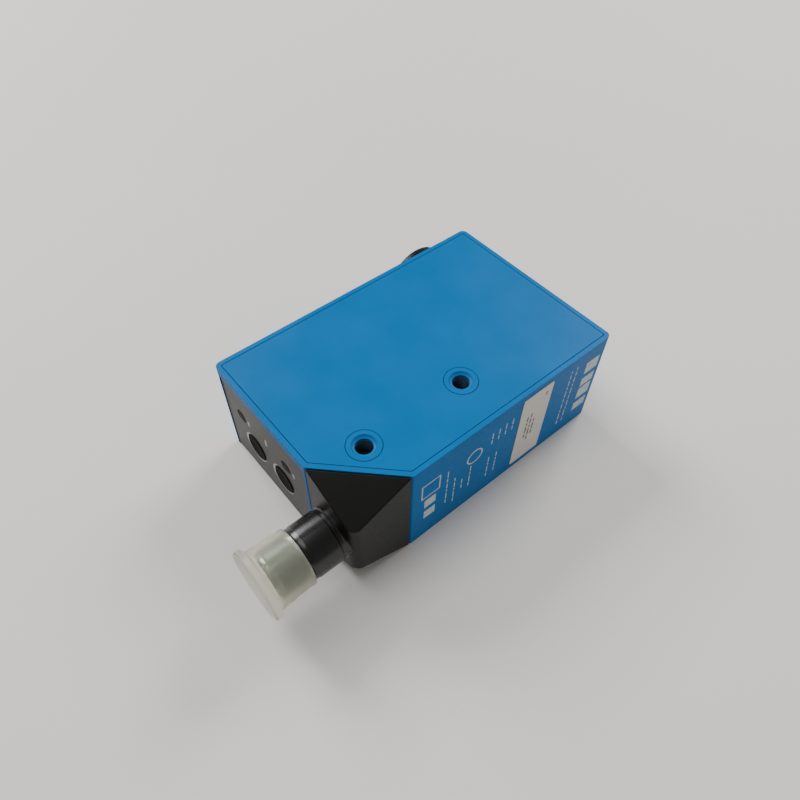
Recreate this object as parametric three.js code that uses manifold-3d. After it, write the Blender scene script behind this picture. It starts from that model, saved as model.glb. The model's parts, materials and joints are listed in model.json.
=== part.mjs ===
// Photoelectric sensor in a die-cast housing: a flat rectangular box with one vertical edge cut off,
// a black connector block that swivels on that cut, a lens in the long side and push buttons in the
// short side. It lies on its large face. Millimetres, +Z up. The origin is the middle of the underside,
// +X runs away from the buttons and +Y towards the lens.

import * as THREE from 'three';
import { mergeVertices } from 'three/addons/utils/BufferGeometryUtils.js';
import Module from 'manifold-3d';

const wasm = await Module();
wasm.setup();

// ---------------------------------------------------------------- driving dimensions

// housing
const length = 80;
const width = 53;
const height = 30.4;
const cornerCut = 16.3;          // each leg of the 45 degree cut, measured along a side
const wall = 2.6;
const floor = 2.6;
const edgeRadius = 1.5;
const cutEdgeRadius = 0.6;
const rim = 1.2;                 // strip of housing left around the cover
const coverThickness = 1.8;
const coverGap = 0.15;           // fine seam around the cover
const gasketThickness = 0.4;
const gasketWidth = 0.9;
const fineGap = 0.1;             // sliding or screwed fit, per side
const looseGap = 0.3;            // joint between the swivelling block and the housing

// threaded fixing bosses
const bossRadius = 4;
const bossFromCut = 6.82;        // first boss behind the cut
const bossOffset = 0.32;         // and along it, off its middle
const bossSpacing = 28.3;
const bossScrewRadius = 2.1;     // core hole of an M5 thread
const bossScrewDepth = 5.5;
const bossMouthRadius = 2.7;
const bossMouthDepth = 0.6;
const shortBossGap = 0.4;        // space between a short boss and the retaining ring

// control panel
const panelFromCut = 0.9;        // strips of housing around the panel
const panelFromBack = 1.3;
const panelFromTop = 2.6;
const panelFromBottom = 0.05;    // the panel reaches the underside
const panelCornerRadius = 1.2;
const panelThickness = 1;
const panelRecess = 1.6;
const panelSunk = 0.3;           // front of the panel below the face of the housing
const panelGasket = 0.3;
const panelLedge = 1.4;
const panelGap = 0.15;
const buttonRadius = 3.75;
const buttonSpacing = 12;
const buttonsOffCentre = -0.45;  // along the width, from the middle of the panel
const buttonDrop = 4.4;          // below the middle of the housing
const buttonProud = 0.3;
const buttonFlange = 0.5;
const buttonFlangeThickness = 0.7;
const plungerRadius = 1.4;
const buttonTravel = 0.5;
const windowRadius = 1.8;
const windowSpacing = 19;
const windowsOffCentre = 0.85;
const windowRise = 3.4;          // above the middle of the housing
const windowProud = 0.1;
const postRadius = 1.6;

// boards
const panelBoardDepth = 5.4;     // front of the panel board behind the face of the housing
const boardThickness = 1.2;
const switchSize = 6;
const switchHeight = 1.6;
const ledHeight = 0.8;
const mainBoardLevel = 6;
const mainBoardThickness = 1.6;
const boardMargin = 5;
const boardGap = 2;              // between the main board and the optics holder
const standoffRadius = 2.8;
const boardScrewRadius = 1.2;
const boardScrewHeadRadius = 2.2;
const boardScrewHeadHeight = 1.5;
const screwSkin = 1;             // floor left under a screw hole

// optics
const barrelFromEnd = 1.5;       // between the barrel and the end of the housing
const plugFromBack = 2;
const portShoulder = 1.7;        // by which a barrel or a plug is wider than its port
const barrelLength = 7;
const portRadius = 8.3;
const portBoss = 0.8;
const portBossWidth = 2.1;
const spigotReach = 0.4;         // by which a screwed-in piece passes through the wall
const lensShelf = 1.5;
const lensSeatDepth = 5.5;       // from the front of the barrel
const lensEdge = 1.4;
const lensBulge = 1.6;
const retainerThickness = 2;
const retainerWidth = 1;
const plugHeadThickness = 1.2;
const plugSunk = 0.15;
const plugSlotWidth = 1.8;
const plugSlotDepth = 0.6;
const holderWall = 0.4;          // space between the optics holder and the port bosses
const holderLevel = 5;
const holderFromCover = 3.2;     // space between the optics holder and the cover
const holderWidth = 20.2;
const holderDepth = 27.2;
const holderFoot = 7;
const canRadius = 2.9;
const canLength = 6;
const splitterSize = 13;
const splitterHeight = 10;
const splitterThickness = 1;

// connector
const connectorOffset = 0.55;    // axis of the plug, off the middle of the cut
const wireBoreOffset = 2.65;
const blockDrop = 6.4;           // height lost by each end facet at the outer edge of the block
const blockEdgeRadius = 2.4;
const journalRadius = 6.3;
const journalBore = 4.2;
const journalEnd = 1.1;          // journal left behind its retaining ring
const retainingRingRadius = 7.8;
const retainingRingThickness = 1.2;
const swivelSealRadius = 7.9;
const swivelSealSection = 0.7;
const neckWall = 0.5;
const neckLength = 9.1;
const sleeveRadius = 6;          // M12
const sleeveLength = 8.1;
const sleeveWall = 1.6;
const sleeveSeatStep = 0.4;
const sleeveSeatDepth = 1.2;
const contactCircle = 2.5;
const contactRadius = 0.5;
const contactLength = 7.6;
const capWall = 0.8;
const capFlange = 1.5;
const capFlangeThickness = 1.8;
const capLength = 11;
const capEnd = 2.4;
const capFlare = 0.4;            // growth of the cap's body towards its flange

// label
const labelFromCorner = 49.7;
const labelWidth = 10.2;
const labelFromEnds = 2;
const labelThickness = 0.12;

// ---------------------------------------------------------------- worked-out places

const left = -length / 2;
const right = length / 2;
const front = -width / 2;
const back = width / 2;
const middle = height / 2;
const ledge = height - coverThickness - gasketThickness;
const outward = new THREE.Vector3(-1, -1, 0).normalize();
const cutMiddle = new THREE.Vector3(left + cornerCut / 2, front + cornerCut / 2, middle);
const xAxis = new THREE.Vector3(1, 0, 0);
const yAxis = new THREE.Vector3(0, 1, 0);
const zAxis = new THREE.Vector3(0, 0, 1);
const nearBoss = cutMiddle.clone()
  .addScaledVector(outward, -bossFromCut)
  .addScaledVector(new THREE.Vector3(1, -1, 0).normalize(), bossOffset);
const bosses = [nearBoss.x, nearBoss.x + bossSpacing];
const bossY = nearBoss.y;
const shortBossLength = middle - retainingRingRadius - shortBossGap;
const panelFace = left + panelSunk;
const panelBack = panelFace + panelThickness;
const panelStart = front + cornerCut + panelFromCut;
const panelWidth = back - panelFromBack - panelStart;
const panelHeight = height - panelFromTop - panelFromBottom;
const panelLevel = panelFromBottom + panelHeight / 2;
const panelMiddle = panelStart + panelWidth / 2;
const panelBoardFront = left + panelBoardDepth;
const sides = ['right', 'left'];  // as seen from outside, nearest the connector first
const buttonPlaces = [-0.5, 0.5].map((step) => panelMiddle + buttonsOffCentre + step * buttonSpacing);
const windowPlaces = [-0.5, 0.5].map((step) => panelMiddle + windowsOffCentre + step * windowSpacing);
const buttonLevel = middle - buttonDrop;
const windowLevel = middle + windowRise;
const buttonFlangeRadius = buttonRadius + buttonFlange;
const barrelRadius = portRadius + portShoulder;
const lensX = right - barrelFromEnd - barrelRadius;
const plugHeadRadius = portRadius + portShoulder;
const plugY = back - plugFromBack - plugHeadRadius;
const spigotLength = wall + spigotReach;
const lensRadius = portRadius - 0.4;
const lightBoreRadius = lensRadius - lensShelf;
const retainerInnerRadius = lensRadius - retainerWidth;
const connectorY = cutMiddle.y - connectorOffset;
const journalLength = wall + looseGap + retainingRingThickness + journalEnd;
const neckRadius = sleeveRadius + neckWall;
const sleeveBore = sleeveRadius - sleeveWall;
const sleeveSeatRadius = sleeveRadius - sleeveSeatStep;
const capRadius = sleeveRadius + fineGap + capWall;
const labelHeight = height - 2 * labelFromEnds;
const neckEnd = left - neckLength;
const sleeveEnd = neckEnd - sleeveLength;
const holderTop = back - wall - portBoss - holderWall;
const holderEnd = right - wall - portBoss - holderWall;
const holderStart = holderEnd - holderWidth;
const holderBottom = holderTop - holderDepth;
const holderHeight = height - coverThickness - holderFromCover - holderLevel;
const boardEnd = holderStart - boardGap;
const standoffs = [
  [left + 15, back - boardMargin - 4],
  [boardEnd - 4, back - boardMargin - 4],
  [boardEnd - 4, front + boardMargin + 4],
];
const holderScrews = [-6, 5].map((step) => [lensX + step, holderBottom - holderFoot / 2]);

// ---------------------------------------------------------------- geometry helpers

// A closed three.js geometry as a solid for joining and cutting, with its faces pointing out.
function solid(geometry) {
  const bare = geometry.index ? geometry.toNonIndexed() : geometry;
  bare.deleteAttribute('normal');
  bare.deleteAttribute('uv');
  const merged = mergeVertices(bare, 1e-4);
  const place = merged.attributes.position;
  const corners = merged.index.array;
  const triangles = [];
  let volume = 0;
  const a = new THREE.Vector3();
  const b = new THREE.Vector3();
  const c = new THREE.Vector3();
  for (let i = 0; i < corners.length; i += 3) {
    const [p, q, r] = [corners[i], corners[i + 1], corners[i + 2]];
    if (p === q || q === r || r === p) continue;
    triangles.push([p, q, r]);
    a.fromBufferAttribute(place, p);
    b.fromBufferAttribute(place, q);
    c.fromBufferAttribute(place, r);
    volume += a.dot(b.cross(c));
  }
  const ordered = triangles.flatMap(([p, q, r]) => (volume > 0 ? [p, q, r] : [p, r, q]));
  return new wasm.Manifold(new wasm.Mesh({
    numProp: 3,
    vertProperties: new Float32Array(place.array),
    triVerts: new Uint32Array(ordered),
  }));
}

function join(first, ...others) {
  return others.reduce((whole, piece) => whole.add(piece), first);
}

function cut(first, ...others) {
  return others.reduce((whole, piece) => whole.subtract(piece), first);
}

function box(x0, x1, y0, y1, z0, z1) {
  const geometry = new THREE.BoxGeometry(x1 - x0, y1 - y0, z1 - z0);
  geometry.translate((x0 + x1) / 2, (y0 + y1) / 2, (z0 + z1) / 2);
  return solid(geometry);
}

// Turns a geometry built about the Y axis so that it lies along an axis through a point.
function lay(geometry, axis, point) {
  geometry.applyQuaternion(new THREE.Quaternion().setFromUnitVectors(yAxis, axis));
  geometry.translate(point.x, point.y, point.z);
  return solid(geometry);
}

// A cylinder along an axis, between two distances measured from a point on that axis.
function rod(radius, point, axis, from, to, steps = 32) {
  const geometry = new THREE.CylinderGeometry(radius, radius, to - from, steps);
  geometry.translate(0, (from + to) / 2, 0);
  return lay(geometry, axis, point);
}

function tube(outer, inner, point, axis, from, to, steps = 32) {
  const bore = rod(inner, point, axis, from - 1, to + 1, steps);
  return cut(rod(outer, point, axis, from, to, steps), bore);
}

// A turned piece: pairs of radius and distance along the axis, starting and ending on the axis.
function turned(profile, point, axis, steps = 32) {
  const outline = profile.map(([radius, along]) => new THREE.Vector2(radius, along));
  return lay(new THREE.LatheGeometry(outline, steps), axis, point);
}

// An O-ring: a round section carried around an axis.
function seal(radius, section, point, axis, along) {
  const outline = [];
  const sectionSteps = 8;
  for (let i = 0; i <= sectionSteps; i += 1) {
    const angle = (i / sectionSteps) * 2 * Math.PI;
    outline.push(new THREE.Vector2(radius + section * Math.cos(angle), along + section * Math.sin(angle)));
  }
  return lay(new THREE.LatheGeometry(outline, 28), axis, point);
}

// An outline whose corners are rounded: each corner is x, y and its radius.
function rounded(corners, steps = 4) {
  const points = [];
  corners.forEach(([x, y, radius], i) => {
    const here = new THREE.Vector2(x, y);
    const [bx, by] = corners[(i + corners.length - 1) % corners.length];
    const [ax, ay] = corners[(i + 1) % corners.length];
    const toBefore = new THREE.Vector2(bx, by).sub(here).normalize();
    const toAfter = new THREE.Vector2(ax, ay).sub(here).normalize();
    const half = Math.acos(toBefore.dot(toAfter)) / 2;
    const bisector = toBefore.clone().add(toAfter).normalize();
    const centre = here.clone().addScaledVector(bisector, radius / Math.sin(half));
    const reach = radius / Math.tan(half);
    const start = here.clone().addScaledVector(toBefore, reach).sub(centre).angle();
    const end = here.clone().addScaledVector(toAfter, reach).sub(centre).angle();
    const sweep = THREE.MathUtils.euclideanModulo(end - start + Math.PI, 2 * Math.PI) - Math.PI;
    for (let k = 0; k <= steps; k += 1) {
      const angle = start + (sweep * k) / steps;
      points.push(new THREE.Vector2(centre.x + radius * Math.cos(angle), centre.y + radius * Math.sin(angle)));
    }
  });
  return points;
}

function prism(points, z0, z1) {
  const geometry = new THREE.ExtrudeGeometry(new THREE.Shape(points), { depth: z1 - z0, bevelEnabled: false });
  geometry.translate(0, 0, z0);
  return solid(geometry);
}

// The housing seen from above, drawn in by a distance all round.
function housingOutline(inset) {
  const slant = inset * (Math.SQRT2 - 1);
  const radius = Math.max(edgeRadius - inset, 0.3);
  return rounded([
    [left + cornerCut + slant, front + inset, cutEdgeRadius],
    [right - inset, front + inset, radius],
    [right - inset, back - inset, radius],
    [left + inset, back - inset, radius],
    [left + inset, front + cornerCut + slant, cutEdgeRadius],
  ]);
}

// The control panel's rectangle, with its upper corners rounded, as a slab between two depths.
function panelSlab(grow, x0, x1) {
  const halfWidth = panelWidth / 2 + grow;
  const halfHeight = panelHeight / 2 + grow;
  const top = Math.max(panelCornerRadius + grow, 0.3);
  const corners = [[-1, -1, top], [1, -1, 0.3], [1, 1, 0.3], [-1, 1, top]].map(([h, v, radius]) => (
    [h * halfHeight, v * halfWidth, radius]));
  const shape = new THREE.Shape(rounded(corners));
  const geometry = new THREE.ExtrudeGeometry(shape, { depth: x1 - x0, bevelEnabled: false });
  geometry.rotateY(Math.PI / 2);
  geometry.translate(x0, panelMiddle, panelLevel);
  return solid(geometry);
}

// ---------------------------------------------------------------- the model as a scene graph

const sensor = new THREE.Group();

function finish(color, roughness, metalness) {
  return new THREE.MeshStandardMaterial({ color, roughness, metalness });
}

function add(name, body, material) {
  const parts = body.getMesh();
  const geometry = new THREE.BufferGeometry();
  geometry.setAttribute('position', new THREE.BufferAttribute(parts.vertProperties, 3));
  geometry.setIndex(new THREE.BufferAttribute(parts.triVerts, 1));
  geometry.computeVertexNormals();
  const mesh = new THREE.Mesh(geometry, material);
  mesh.name = name;
  sensor.add(mesh);
  return mesh;
}

const blueLacquer = () => finish(0x247fb4, 0.5, 0.2);
const blackPlastic = () => finish(0x201f1c, 0.5, 0);
const greyPlastic = () => finish(0x504e4b, 0.6, 0);
const seal70 = () => finish(0x141414, 0.8, 0);
const circuitBoard = () => finish(0x1f5a34, 0.5, 0);
const steel = () => finish(0xb4b6b8, 0.3, 0.9);
const nickel = () => finish(0xa7adb0, 0.3, 0.9);
const blackMetal = () => finish(0x26262a, 0.4, 0.8);
const glass = () => finish(0xcfe4ea, 0.05, 0);

// ---------------------------------------------------------------- housing

function fixingHoles(x) {
  const base = new THREE.Vector3(x, bossY, 0);
  const top = new THREE.Vector3(x, bossY, height);
  const down = new THREE.Vector3(0, 0, -1);
  return [[base, zAxis], [top, down]].flatMap(([point, axis]) => [
    rod(bossScrewRadius, point, axis, -1, bossScrewDepth, 28),
    turned([[0, -1], [bossMouthRadius + 1, -1], [bossMouthRadius, 0], [bossScrewRadius, bossMouthDepth],
      [0, bossMouthDepth]], point, axis, 28),
  ]);
}

function housingBody() {
  const lensCentre = new THREE.Vector3(lensX, back, middle);
  const plugCentre = new THREE.Vector3(right, plugY, middle);
  const cavity = prism(housingOutline(wall), floor, height + 1);
  const shell = cut(prism(housingOutline(0), 0, height), cavity);
  const near = new THREE.Vector3(bosses[0], bossY, 0);
  const webs = [[floor / 2, shortBossLength], [height - shortBossLength, ledge]].map(([z0, z1]) => {
    const geometry = new THREE.BoxGeometry(bossRadius + 1, bossRadius + 1, z1 - z0);
    geometry.translate(bossRadius / 2 + 0.5, 0, 0);
    geometry.rotateZ(Math.atan2(outward.y, outward.x));
    geometry.translate(bosses[0], bossY, (z0 + z1) / 2);
    return solid(geometry);
  });
  const bossesAndPads = [
    rod(bossRadius, near, zAxis, floor / 2, shortBossLength),
    rod(bossRadius, near, zAxis, height - shortBossLength, height),
    rod(bossRadius, new THREE.Vector3(bosses[1], bossY, 0), zAxis, floor / 2, height),
    rod(portRadius + portBossWidth, lensCentre, yAxis, -wall - portBoss, -wall / 2),
    rod(portRadius + portBossWidth, plugCentre, xAxis, -wall - portBoss, -wall / 2),
    ...standoffs.map(([x, y]) => rod(standoffRadius, new THREE.Vector3(x, y, 0), zAxis, floor / 2,
      mainBoardLevel, 20)),
    ...holderScrews.map(([x, y]) => rod(standoffRadius, new THREE.Vector3(x, y, 0), zAxis, floor / 2,
      holderLevel, 20)),
  ];
  const screwHoles = [...standoffs, ...holderScrews].map(([x, y]) => rod(boardScrewRadius + fineGap / 2,
    new THREE.Vector3(x, y, 0), zAxis, screwSkin, height / 2, 16));
  const filled = join(shell, ...webs, ...bossesAndPads);
  const coverSeat = cut(prism(housingOutline(rim), ledge, height + 1),
    ...bosses.map((x) => rod(bossRadius, new THREE.Vector3(x, bossY, 0), zAxis, ledge - 1, height)));
  return cut(
    filled,
    coverSeat,
    panelSlab(panelGap, left - 1, left + panelRecess),
    panelSlab(-panelLedge, left - 1, left + wall + 1),
    rod(portRadius, lensCentre, yAxis, -wall - portBoss - 1, 1),
    rod(portRadius, plugCentre, xAxis, -wall - portBoss - 1, 1),
    rod(plugHeadRadius + fineGap, plugCentre, xAxis, -plugHeadThickness - plugSunk, 1),
    rod(journalRadius + looseGap, cutMiddle, outward, -wall - 1.2, 1),
    ...bosses.flatMap(fixingHoles),
    ...screwHoles,
  );
}

function sideCover() {
  const plate = prism(housingOutline(rim + coverGap), height - coverThickness, height);
  const holes = bosses.map((x) => rod(bossRadius + fineGap, new THREE.Vector3(x, bossY, 0), zAxis, 0,
    height + 1));
  return cut(plate, ...holes);
}

function coverGasket() {
  const outside = prism(housingOutline(rim + coverGap), ledge, height - coverThickness);
  const inside = prism(housingOutline(rim + coverGap + gasketWidth), ledge - 1, height);
  return cut(outside, inside);
}

add('housing_body', housingBody(), blueLacquer());
add('side_cover', sideCover(), blueLacquer());
add('cover_gasket', coverGasket(), seal70());

// ---------------------------------------------------------------- control panel

function controlPanel() {
  const holes = [
    ...buttonPlaces.map((y) => rod(buttonRadius + fineGap, new THREE.Vector3(left, y, buttonLevel), xAxis, -1,
      wall + 1)),
    ...windowPlaces.map((y) => rod(windowRadius + fineGap, new THREE.Vector3(left, y, windowLevel), xAxis, -1,
      wall + 1, 24)),
  ];
  const lowPost = floor + 1.2 * postRadius;
  const posts = [windowLevel, lowPost].map((z) => rod(postRadius,
    new THREE.Vector3(panelBack, (buttonPlaces[0] + buttonPlaces[1]) / 2, z), xAxis, -panelThickness / 2,
    panelBoardFront - panelBack, 20));
  return cut(join(panelSlab(0, panelFace, panelBack), ...posts), ...holes);
}

add('control_panel', controlPanel(), greyPlastic());
add('panel_gasket', cut(panelSlab(-panelGap, panelBack, left + panelRecess),
  panelSlab(-panelLedge, left, left + wall)), seal70());

function pushButton(y) {
  const point = new THREE.Vector3(panelFace, y, buttonLevel);
  const switchTop = panelBoardFront - panelFace - switchHeight;
  const flangeFront = panelThickness + 0.05;
  return turned([
    [0, -buttonProud],
    [buttonRadius, -buttonProud],
    [buttonRadius, flangeFront],
    [buttonFlangeRadius, flangeFront],
    [buttonFlangeRadius, flangeFront + buttonFlangeThickness],
    [plungerRadius, flangeFront + buttonFlangeThickness],
    [plungerRadius, switchTop - buttonTravel - 0.05],
    [0, switchTop - buttonTravel - 0.05],
  ], point, xAxis);
}

function lightWindow(y) {
  const point = new THREE.Vector3(panelFace, y, windowLevel);
  const ledTop = panelBoardFront - panelFace - ledHeight;
  const collarFront = panelThickness + 0.05;
  return turned([
    [0, -windowProud],
    [windowRadius, -windowProud],
    [windowRadius, collarFront],
    [windowRadius + 0.6, collarFront],
    [windowRadius + 0.6, collarFront + 0.6],
    [windowRadius, collarFront + 0.6],
    [windowRadius, ledTop - fineGap],
    [0, ledTop - fineGap],
  ], point, xAxis, 24);
}

function tactSwitch(y) {
  const half = switchSize / 2;
  return box(panelBoardFront - switchHeight, panelBoardFront, y - half, y + half, buttonLevel - half,
    buttonLevel + half);
}

sides.forEach((side, i) => {
  add(`${side}_button`, pushButton(buttonPlaces[i]), blackPlastic());
  add(`${side}_indicator_window`, lightWindow(windowPlaces[i]), glass());
  add(`${side}_switch`, tactSwitch(buttonPlaces[i]), steel());
  add(`${side}_indicator_led`, box(panelBoardFront - ledHeight, panelBoardFront, windowPlaces[i] - 1,
    windowPlaces[i] + 1, windowLevel - 0.7, windowLevel + 0.7), finish(0xe8e4cc, 0.4, 0));
});

add('panel_board', box(panelBoardFront, panelBoardFront + boardThickness, panelMiddle - panelWidth / 2 + 3,
  panelMiddle + panelWidth / 2 - 3.3, floor + 0.5, panelLevel + panelHeight / 2 - 2.2),
circuitBoard());

// ---------------------------------------------------------------- main board

function mainBoard() {
  const outline = [
    [left + 2 * boardMargin, front + cornerCut + 10],
    [left + cornerCut + 14, front + boardMargin],
    [boardEnd, front + boardMargin],
    [boardEnd, back - boardMargin],
    [left + 2 * boardMargin, back - boardMargin],
  ].map(([x, y]) => new THREE.Vector2(x, y));
  const plate = prism(outline, mainBoardLevel, mainBoardLevel + mainBoardThickness);
  const holes = standoffs.map(([x, y]) => rod(boardScrewRadius + 2 * fineGap, new THREE.Vector3(x, y, 0), zAxis,
    0, height, 16));
  const bossHole = rod(bossRadius + 2 * looseGap, new THREE.Vector3(bosses[1], bossY, 0), zAxis, 0, height);
  return cut(plate, bossHole, ...holes);
}

function screw(x, y, underHead) {
  const point = new THREE.Vector3(x, y, underHead);
  const depth = underHead - screwSkin - 0.3;
  const body = turned([
    [0, -depth],
    [boardScrewRadius, -depth],
    [boardScrewRadius, 0],
    [boardScrewHeadRadius, 0],
    [boardScrewHeadRadius, boardScrewHeadHeight],
    [0, boardScrewHeadHeight],
  ], point, zAxis, 16);
  const slotTop = underHead + boardScrewHeadHeight;
  const across = [
    box(x - 1.3, x + 1.3, y - 0.25, y + 0.25, slotTop - 0.8, slotTop + 1),
    box(x - 0.25, x + 0.25, y - 1.3, y + 1.3, slotTop - 0.8, slotTop + 1),
  ];
  return cut(body, ...across);
}

const boardTop = mainBoardLevel + mainBoardThickness;
add('main_board', mainBoard(), circuitBoard());
standoffs.forEach(([x, y], i) => {
  add(`board_screw_${i + 1}`, screw(x, y, boardTop), steel());
});
add('processor_chip', box(left + 27, left + 37, front + 26, front + 36, boardTop, boardTop + 1.4), blackPlastic());
add('supply_capacitor', rod(4, new THREE.Vector3(left + 22, front + 40, boardTop), zAxis, 0, 10, 28),
  finish(0x2b3040, 0.4, 0));
add('board_connector', box(left + 17, left + 23, front + 22, front + 31, boardTop, boardTop + 6),
  finish(0xe6e2d6, 0.5, 0));

// ---------------------------------------------------------------- optics

const crossing = new THREE.Vector3(lensX, plugY, middle);

// The beam splitter's plate, which stands across the corner between the two light paths.
function splitterPlate(grow) {
  const geometry = new THREE.BoxGeometry(splitterSize + grow, splitterThickness + grow, splitterHeight + grow);
  geometry.rotateZ(Math.PI / 4);
  geometry.translate(crossing.x, crossing.y, crossing.z);
  return solid(geometry);
}

function opticsHolder() {
  const body = box(holderStart, holderEnd, holderBottom, holderTop, holderLevel, holderLevel + holderHeight);
  const foot = box(holderStart + 1, holderEnd - 1, holderBottom - holderFoot, holderBottom + 1, holderLevel,
    holderLevel + 2.5);
  const holes = holderScrews.map(([x, y]) => rod(boardScrewRadius + 2 * fineGap, new THREE.Vector3(x, y, 0),
    zAxis, 0, height, 16));
  const canReach = canLength + 2;
  return cut(
    join(body, foot),
    rod(lightBoreRadius, crossing, yAxis, holderBottom + canReach - plugY, holderTop - plugY + 1),
    rod(lightBoreRadius, crossing, xAxis, holderStart + canReach - 1.5 - lensX, holderEnd - lensX + 1),
    rod(canRadius + fineGap, crossing, yAxis, holderBottom - plugY - 1, 0, 28),
    rod(canRadius + fineGap, crossing, xAxis, holderStart - lensX - 1, 0, 28),
    splitterPlate(0.2),
    ...holes,
  );
}

// A light emitter or receiver in a round metal can with a flange at its back.
function can(point, axis) {
  return turned([
    [0, -1], [canRadius + 0.7, -1], [canRadius + 0.7, -0.1], [canRadius, -0.1], [canRadius, canLength],
    [canRadius - 0.6, canLength + 0.6], [0, canLength + 0.6],
  ], point, axis, 28);
}

add('optics_holder', opticsHolder(), blackPlastic());
add('beam_splitter', splitterPlate(0), glass());
add('light_emitter', can(new THREE.Vector3(holderStart, plugY, middle), xAxis), steel());
add('light_receiver', can(new THREE.Vector3(lensX, holderBottom, middle), yAxis), steel());
holderScrews.forEach(([x, y], i) => {
  add(`holder_screw_${i + 1}`, screw(x, y, holderLevel + 2.5), steel());
});

function lensBarrel() {
  const point = new THREE.Vector3(lensX, back, middle);
  const body = turned([
    [0, -spigotLength], [portRadius - fineGap, -spigotLength], [portRadius - fineGap, 0], [barrelRadius, 0],
    [barrelRadius, barrelLength], [0, barrelLength],
  ], point, yAxis, 40);
  return cut(
    body,
    rod(lightBoreRadius, point, yAxis, -spigotLength - 1, barrelLength + 1),
    rod(lensRadius + fineGap, point, yAxis, barrelLength - lensSeatDepth, barrelLength + 1),
    tube(portRadius + 1.3, portRadius + 0.3, point, yAxis, -0.5, 0.95),
  );
}

function frontLens() {
  const seat = barrelLength - lensSeatDepth;
  const profile = [[0, seat], [lensRadius, seat], [lensRadius, seat + lensEdge]];
  const domeRadius = (lensRadius ** 2 + lensBulge ** 2) / (2 * lensBulge);
  const domeSteps = 4;
  for (let i = 1; i <= domeSteps; i += 1) {
    const radius = lensRadius * (1 - i / domeSteps);
    const drop = domeRadius - Math.sqrt(domeRadius ** 2 - radius ** 2);
    profile.push([radius, seat + lensEdge + lensBulge - drop]);
  }
  return turned(profile, new THREE.Vector3(lensX, back, middle), yAxis);
}

const lensCentre = new THREE.Vector3(lensX, back, middle);
const retainerBack = barrelLength - lensSeatDepth + lensEdge + 0.5;
add('lens_barrel', lensBarrel(), blackMetal());
add('front_lens', frontLens(), glass());
add('lens_retaining_ring', tube(lensRadius, retainerInnerRadius, lensCentre, yAxis, retainerBack,
  retainerBack + retainerThickness), blackMetal());
add('lens_seal', seal(portRadius + 0.8, 0.4, lensCentre, yAxis, 0.45), seal70());

function blindPlug() {
  const point = new THREE.Vector3(right, plugY, middle);
  const headBack = -plugHeadThickness - plugSunk;
  const body = turned([
    [0, -spigotLength], [portRadius - fineGap, -spigotLength], [portRadius - fineGap, headBack],
    [plugHeadRadius, headBack], [plugHeadRadius, -plugSunk], [0, -plugSunk],
  ], point, xAxis);
  const slot = box(right - plugSunk - plugSlotDepth, right + 1, plugY - plugHeadRadius * 0.7,
    plugY + plugHeadRadius * 0.7, middle - plugSlotWidth / 2, middle + plugSlotWidth / 2);
  return cut(body, slot, tube(portRadius + 1.2, portRadius + 0.3, point, xAxis, headBack - 0.5, headBack + 0.65));
}

add('blind_plug', blindPlug(), blackMetal());
add('plug_seal', seal(portRadius + 0.75, 0.3, new THREE.Vector3(right, plugY, middle), xAxis,
  -plugHeadThickness - plugSunk + 0.32), seal70());

add('rating_label', box(left + labelFromCorner, left + labelFromCorner + labelWidth, front - labelThickness,
  front, middle - labelHeight / 2, middle + labelHeight / 2), finish(0xd8d5cc, 0.6, 0));

// ---------------------------------------------------------------- swivelling connector

const plugAxis = new THREE.Vector3(-1, 0, 0);
const plugOrigin = new THREE.Vector3(left, connectorY, middle);

function connectorBlock() {
  const short = looseGap * Math.SQRT2;
  const footprint = rounded([
    [left, front, blockEdgeRadius],
    [left + cornerCut - short, front, 0.2],
    [left, front + cornerCut - short, 0.2],
  ]);
  const depth = cornerCut / Math.SQRT2 - looseGap;
  const edgeDepth = depth - blockEdgeRadius * (Math.SQRT2 - 1);
  const lost = (blockDrop * depth) / edgeDepth;
  const side = new THREE.Shape([
    new THREE.Vector2(0, 0),
    new THREE.Vector2(depth, lost),
    new THREE.Vector2(depth, height - lost),
    new THREE.Vector2(0, height),
  ]);
  const facets = new THREE.ExtrudeGeometry(side, { depth: 2 * cornerCut, bevelEnabled: false });
  facets.translate(0, -middle, -cornerCut);
  const along = new THREE.Vector3().crossVectors(outward, zAxis);
  facets.applyMatrix4(new THREE.Matrix4().makeBasis(outward, zAxis, along));
  const base = cutMiddle.clone().addScaledVector(outward, looseGap);
  facets.translate(base.x, base.y, base.z);
  const block = prism(footprint, 0, height).intersect(solid(facets));
  return cut(
    join(
      block,
      rod(journalRadius, cutMiddle, outward, -journalLength, looseGap + 2),
      rod(neckRadius, plugOrigin, plugAxis, -0.5, neckLength),
    ),
    rod(sleeveSeatRadius, plugOrigin, plugAxis, -sleeveSeatDepth, neckLength + 1),
    rod(sleeveBore - 0.9, plugOrigin, plugAxis, wireBoreOffset - cornerCut / 2, 0, 28),
    rod(journalBore, cutMiddle, outward, -journalLength - 1, 3.5, 32),
    tube(swivelSealRadius + 0.9, swivelSealRadius - 0.9, cutMiddle, outward, looseGap - 0.2, looseGap + 1.3),
    tube(journalRadius + 1, journalRadius - 0.7, cutMiddle, outward, -wall - looseGap - retainingRingThickness
      - 0.1, -wall - looseGap + 0.1),
  );
}

const ringFront = -wall - looseGap;
add('connector_block', connectorBlock(), blackPlastic());
add('swivel_retaining_ring', tube(retainingRingRadius, journalRadius - 0.55, cutMiddle, outward,
  ringFront - retainingRingThickness, ringFront), steel());
add('swivel_seal', seal(swivelSealRadius, swivelSealSection, cutMiddle, outward, looseGap + 0.55), seal70());

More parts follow.
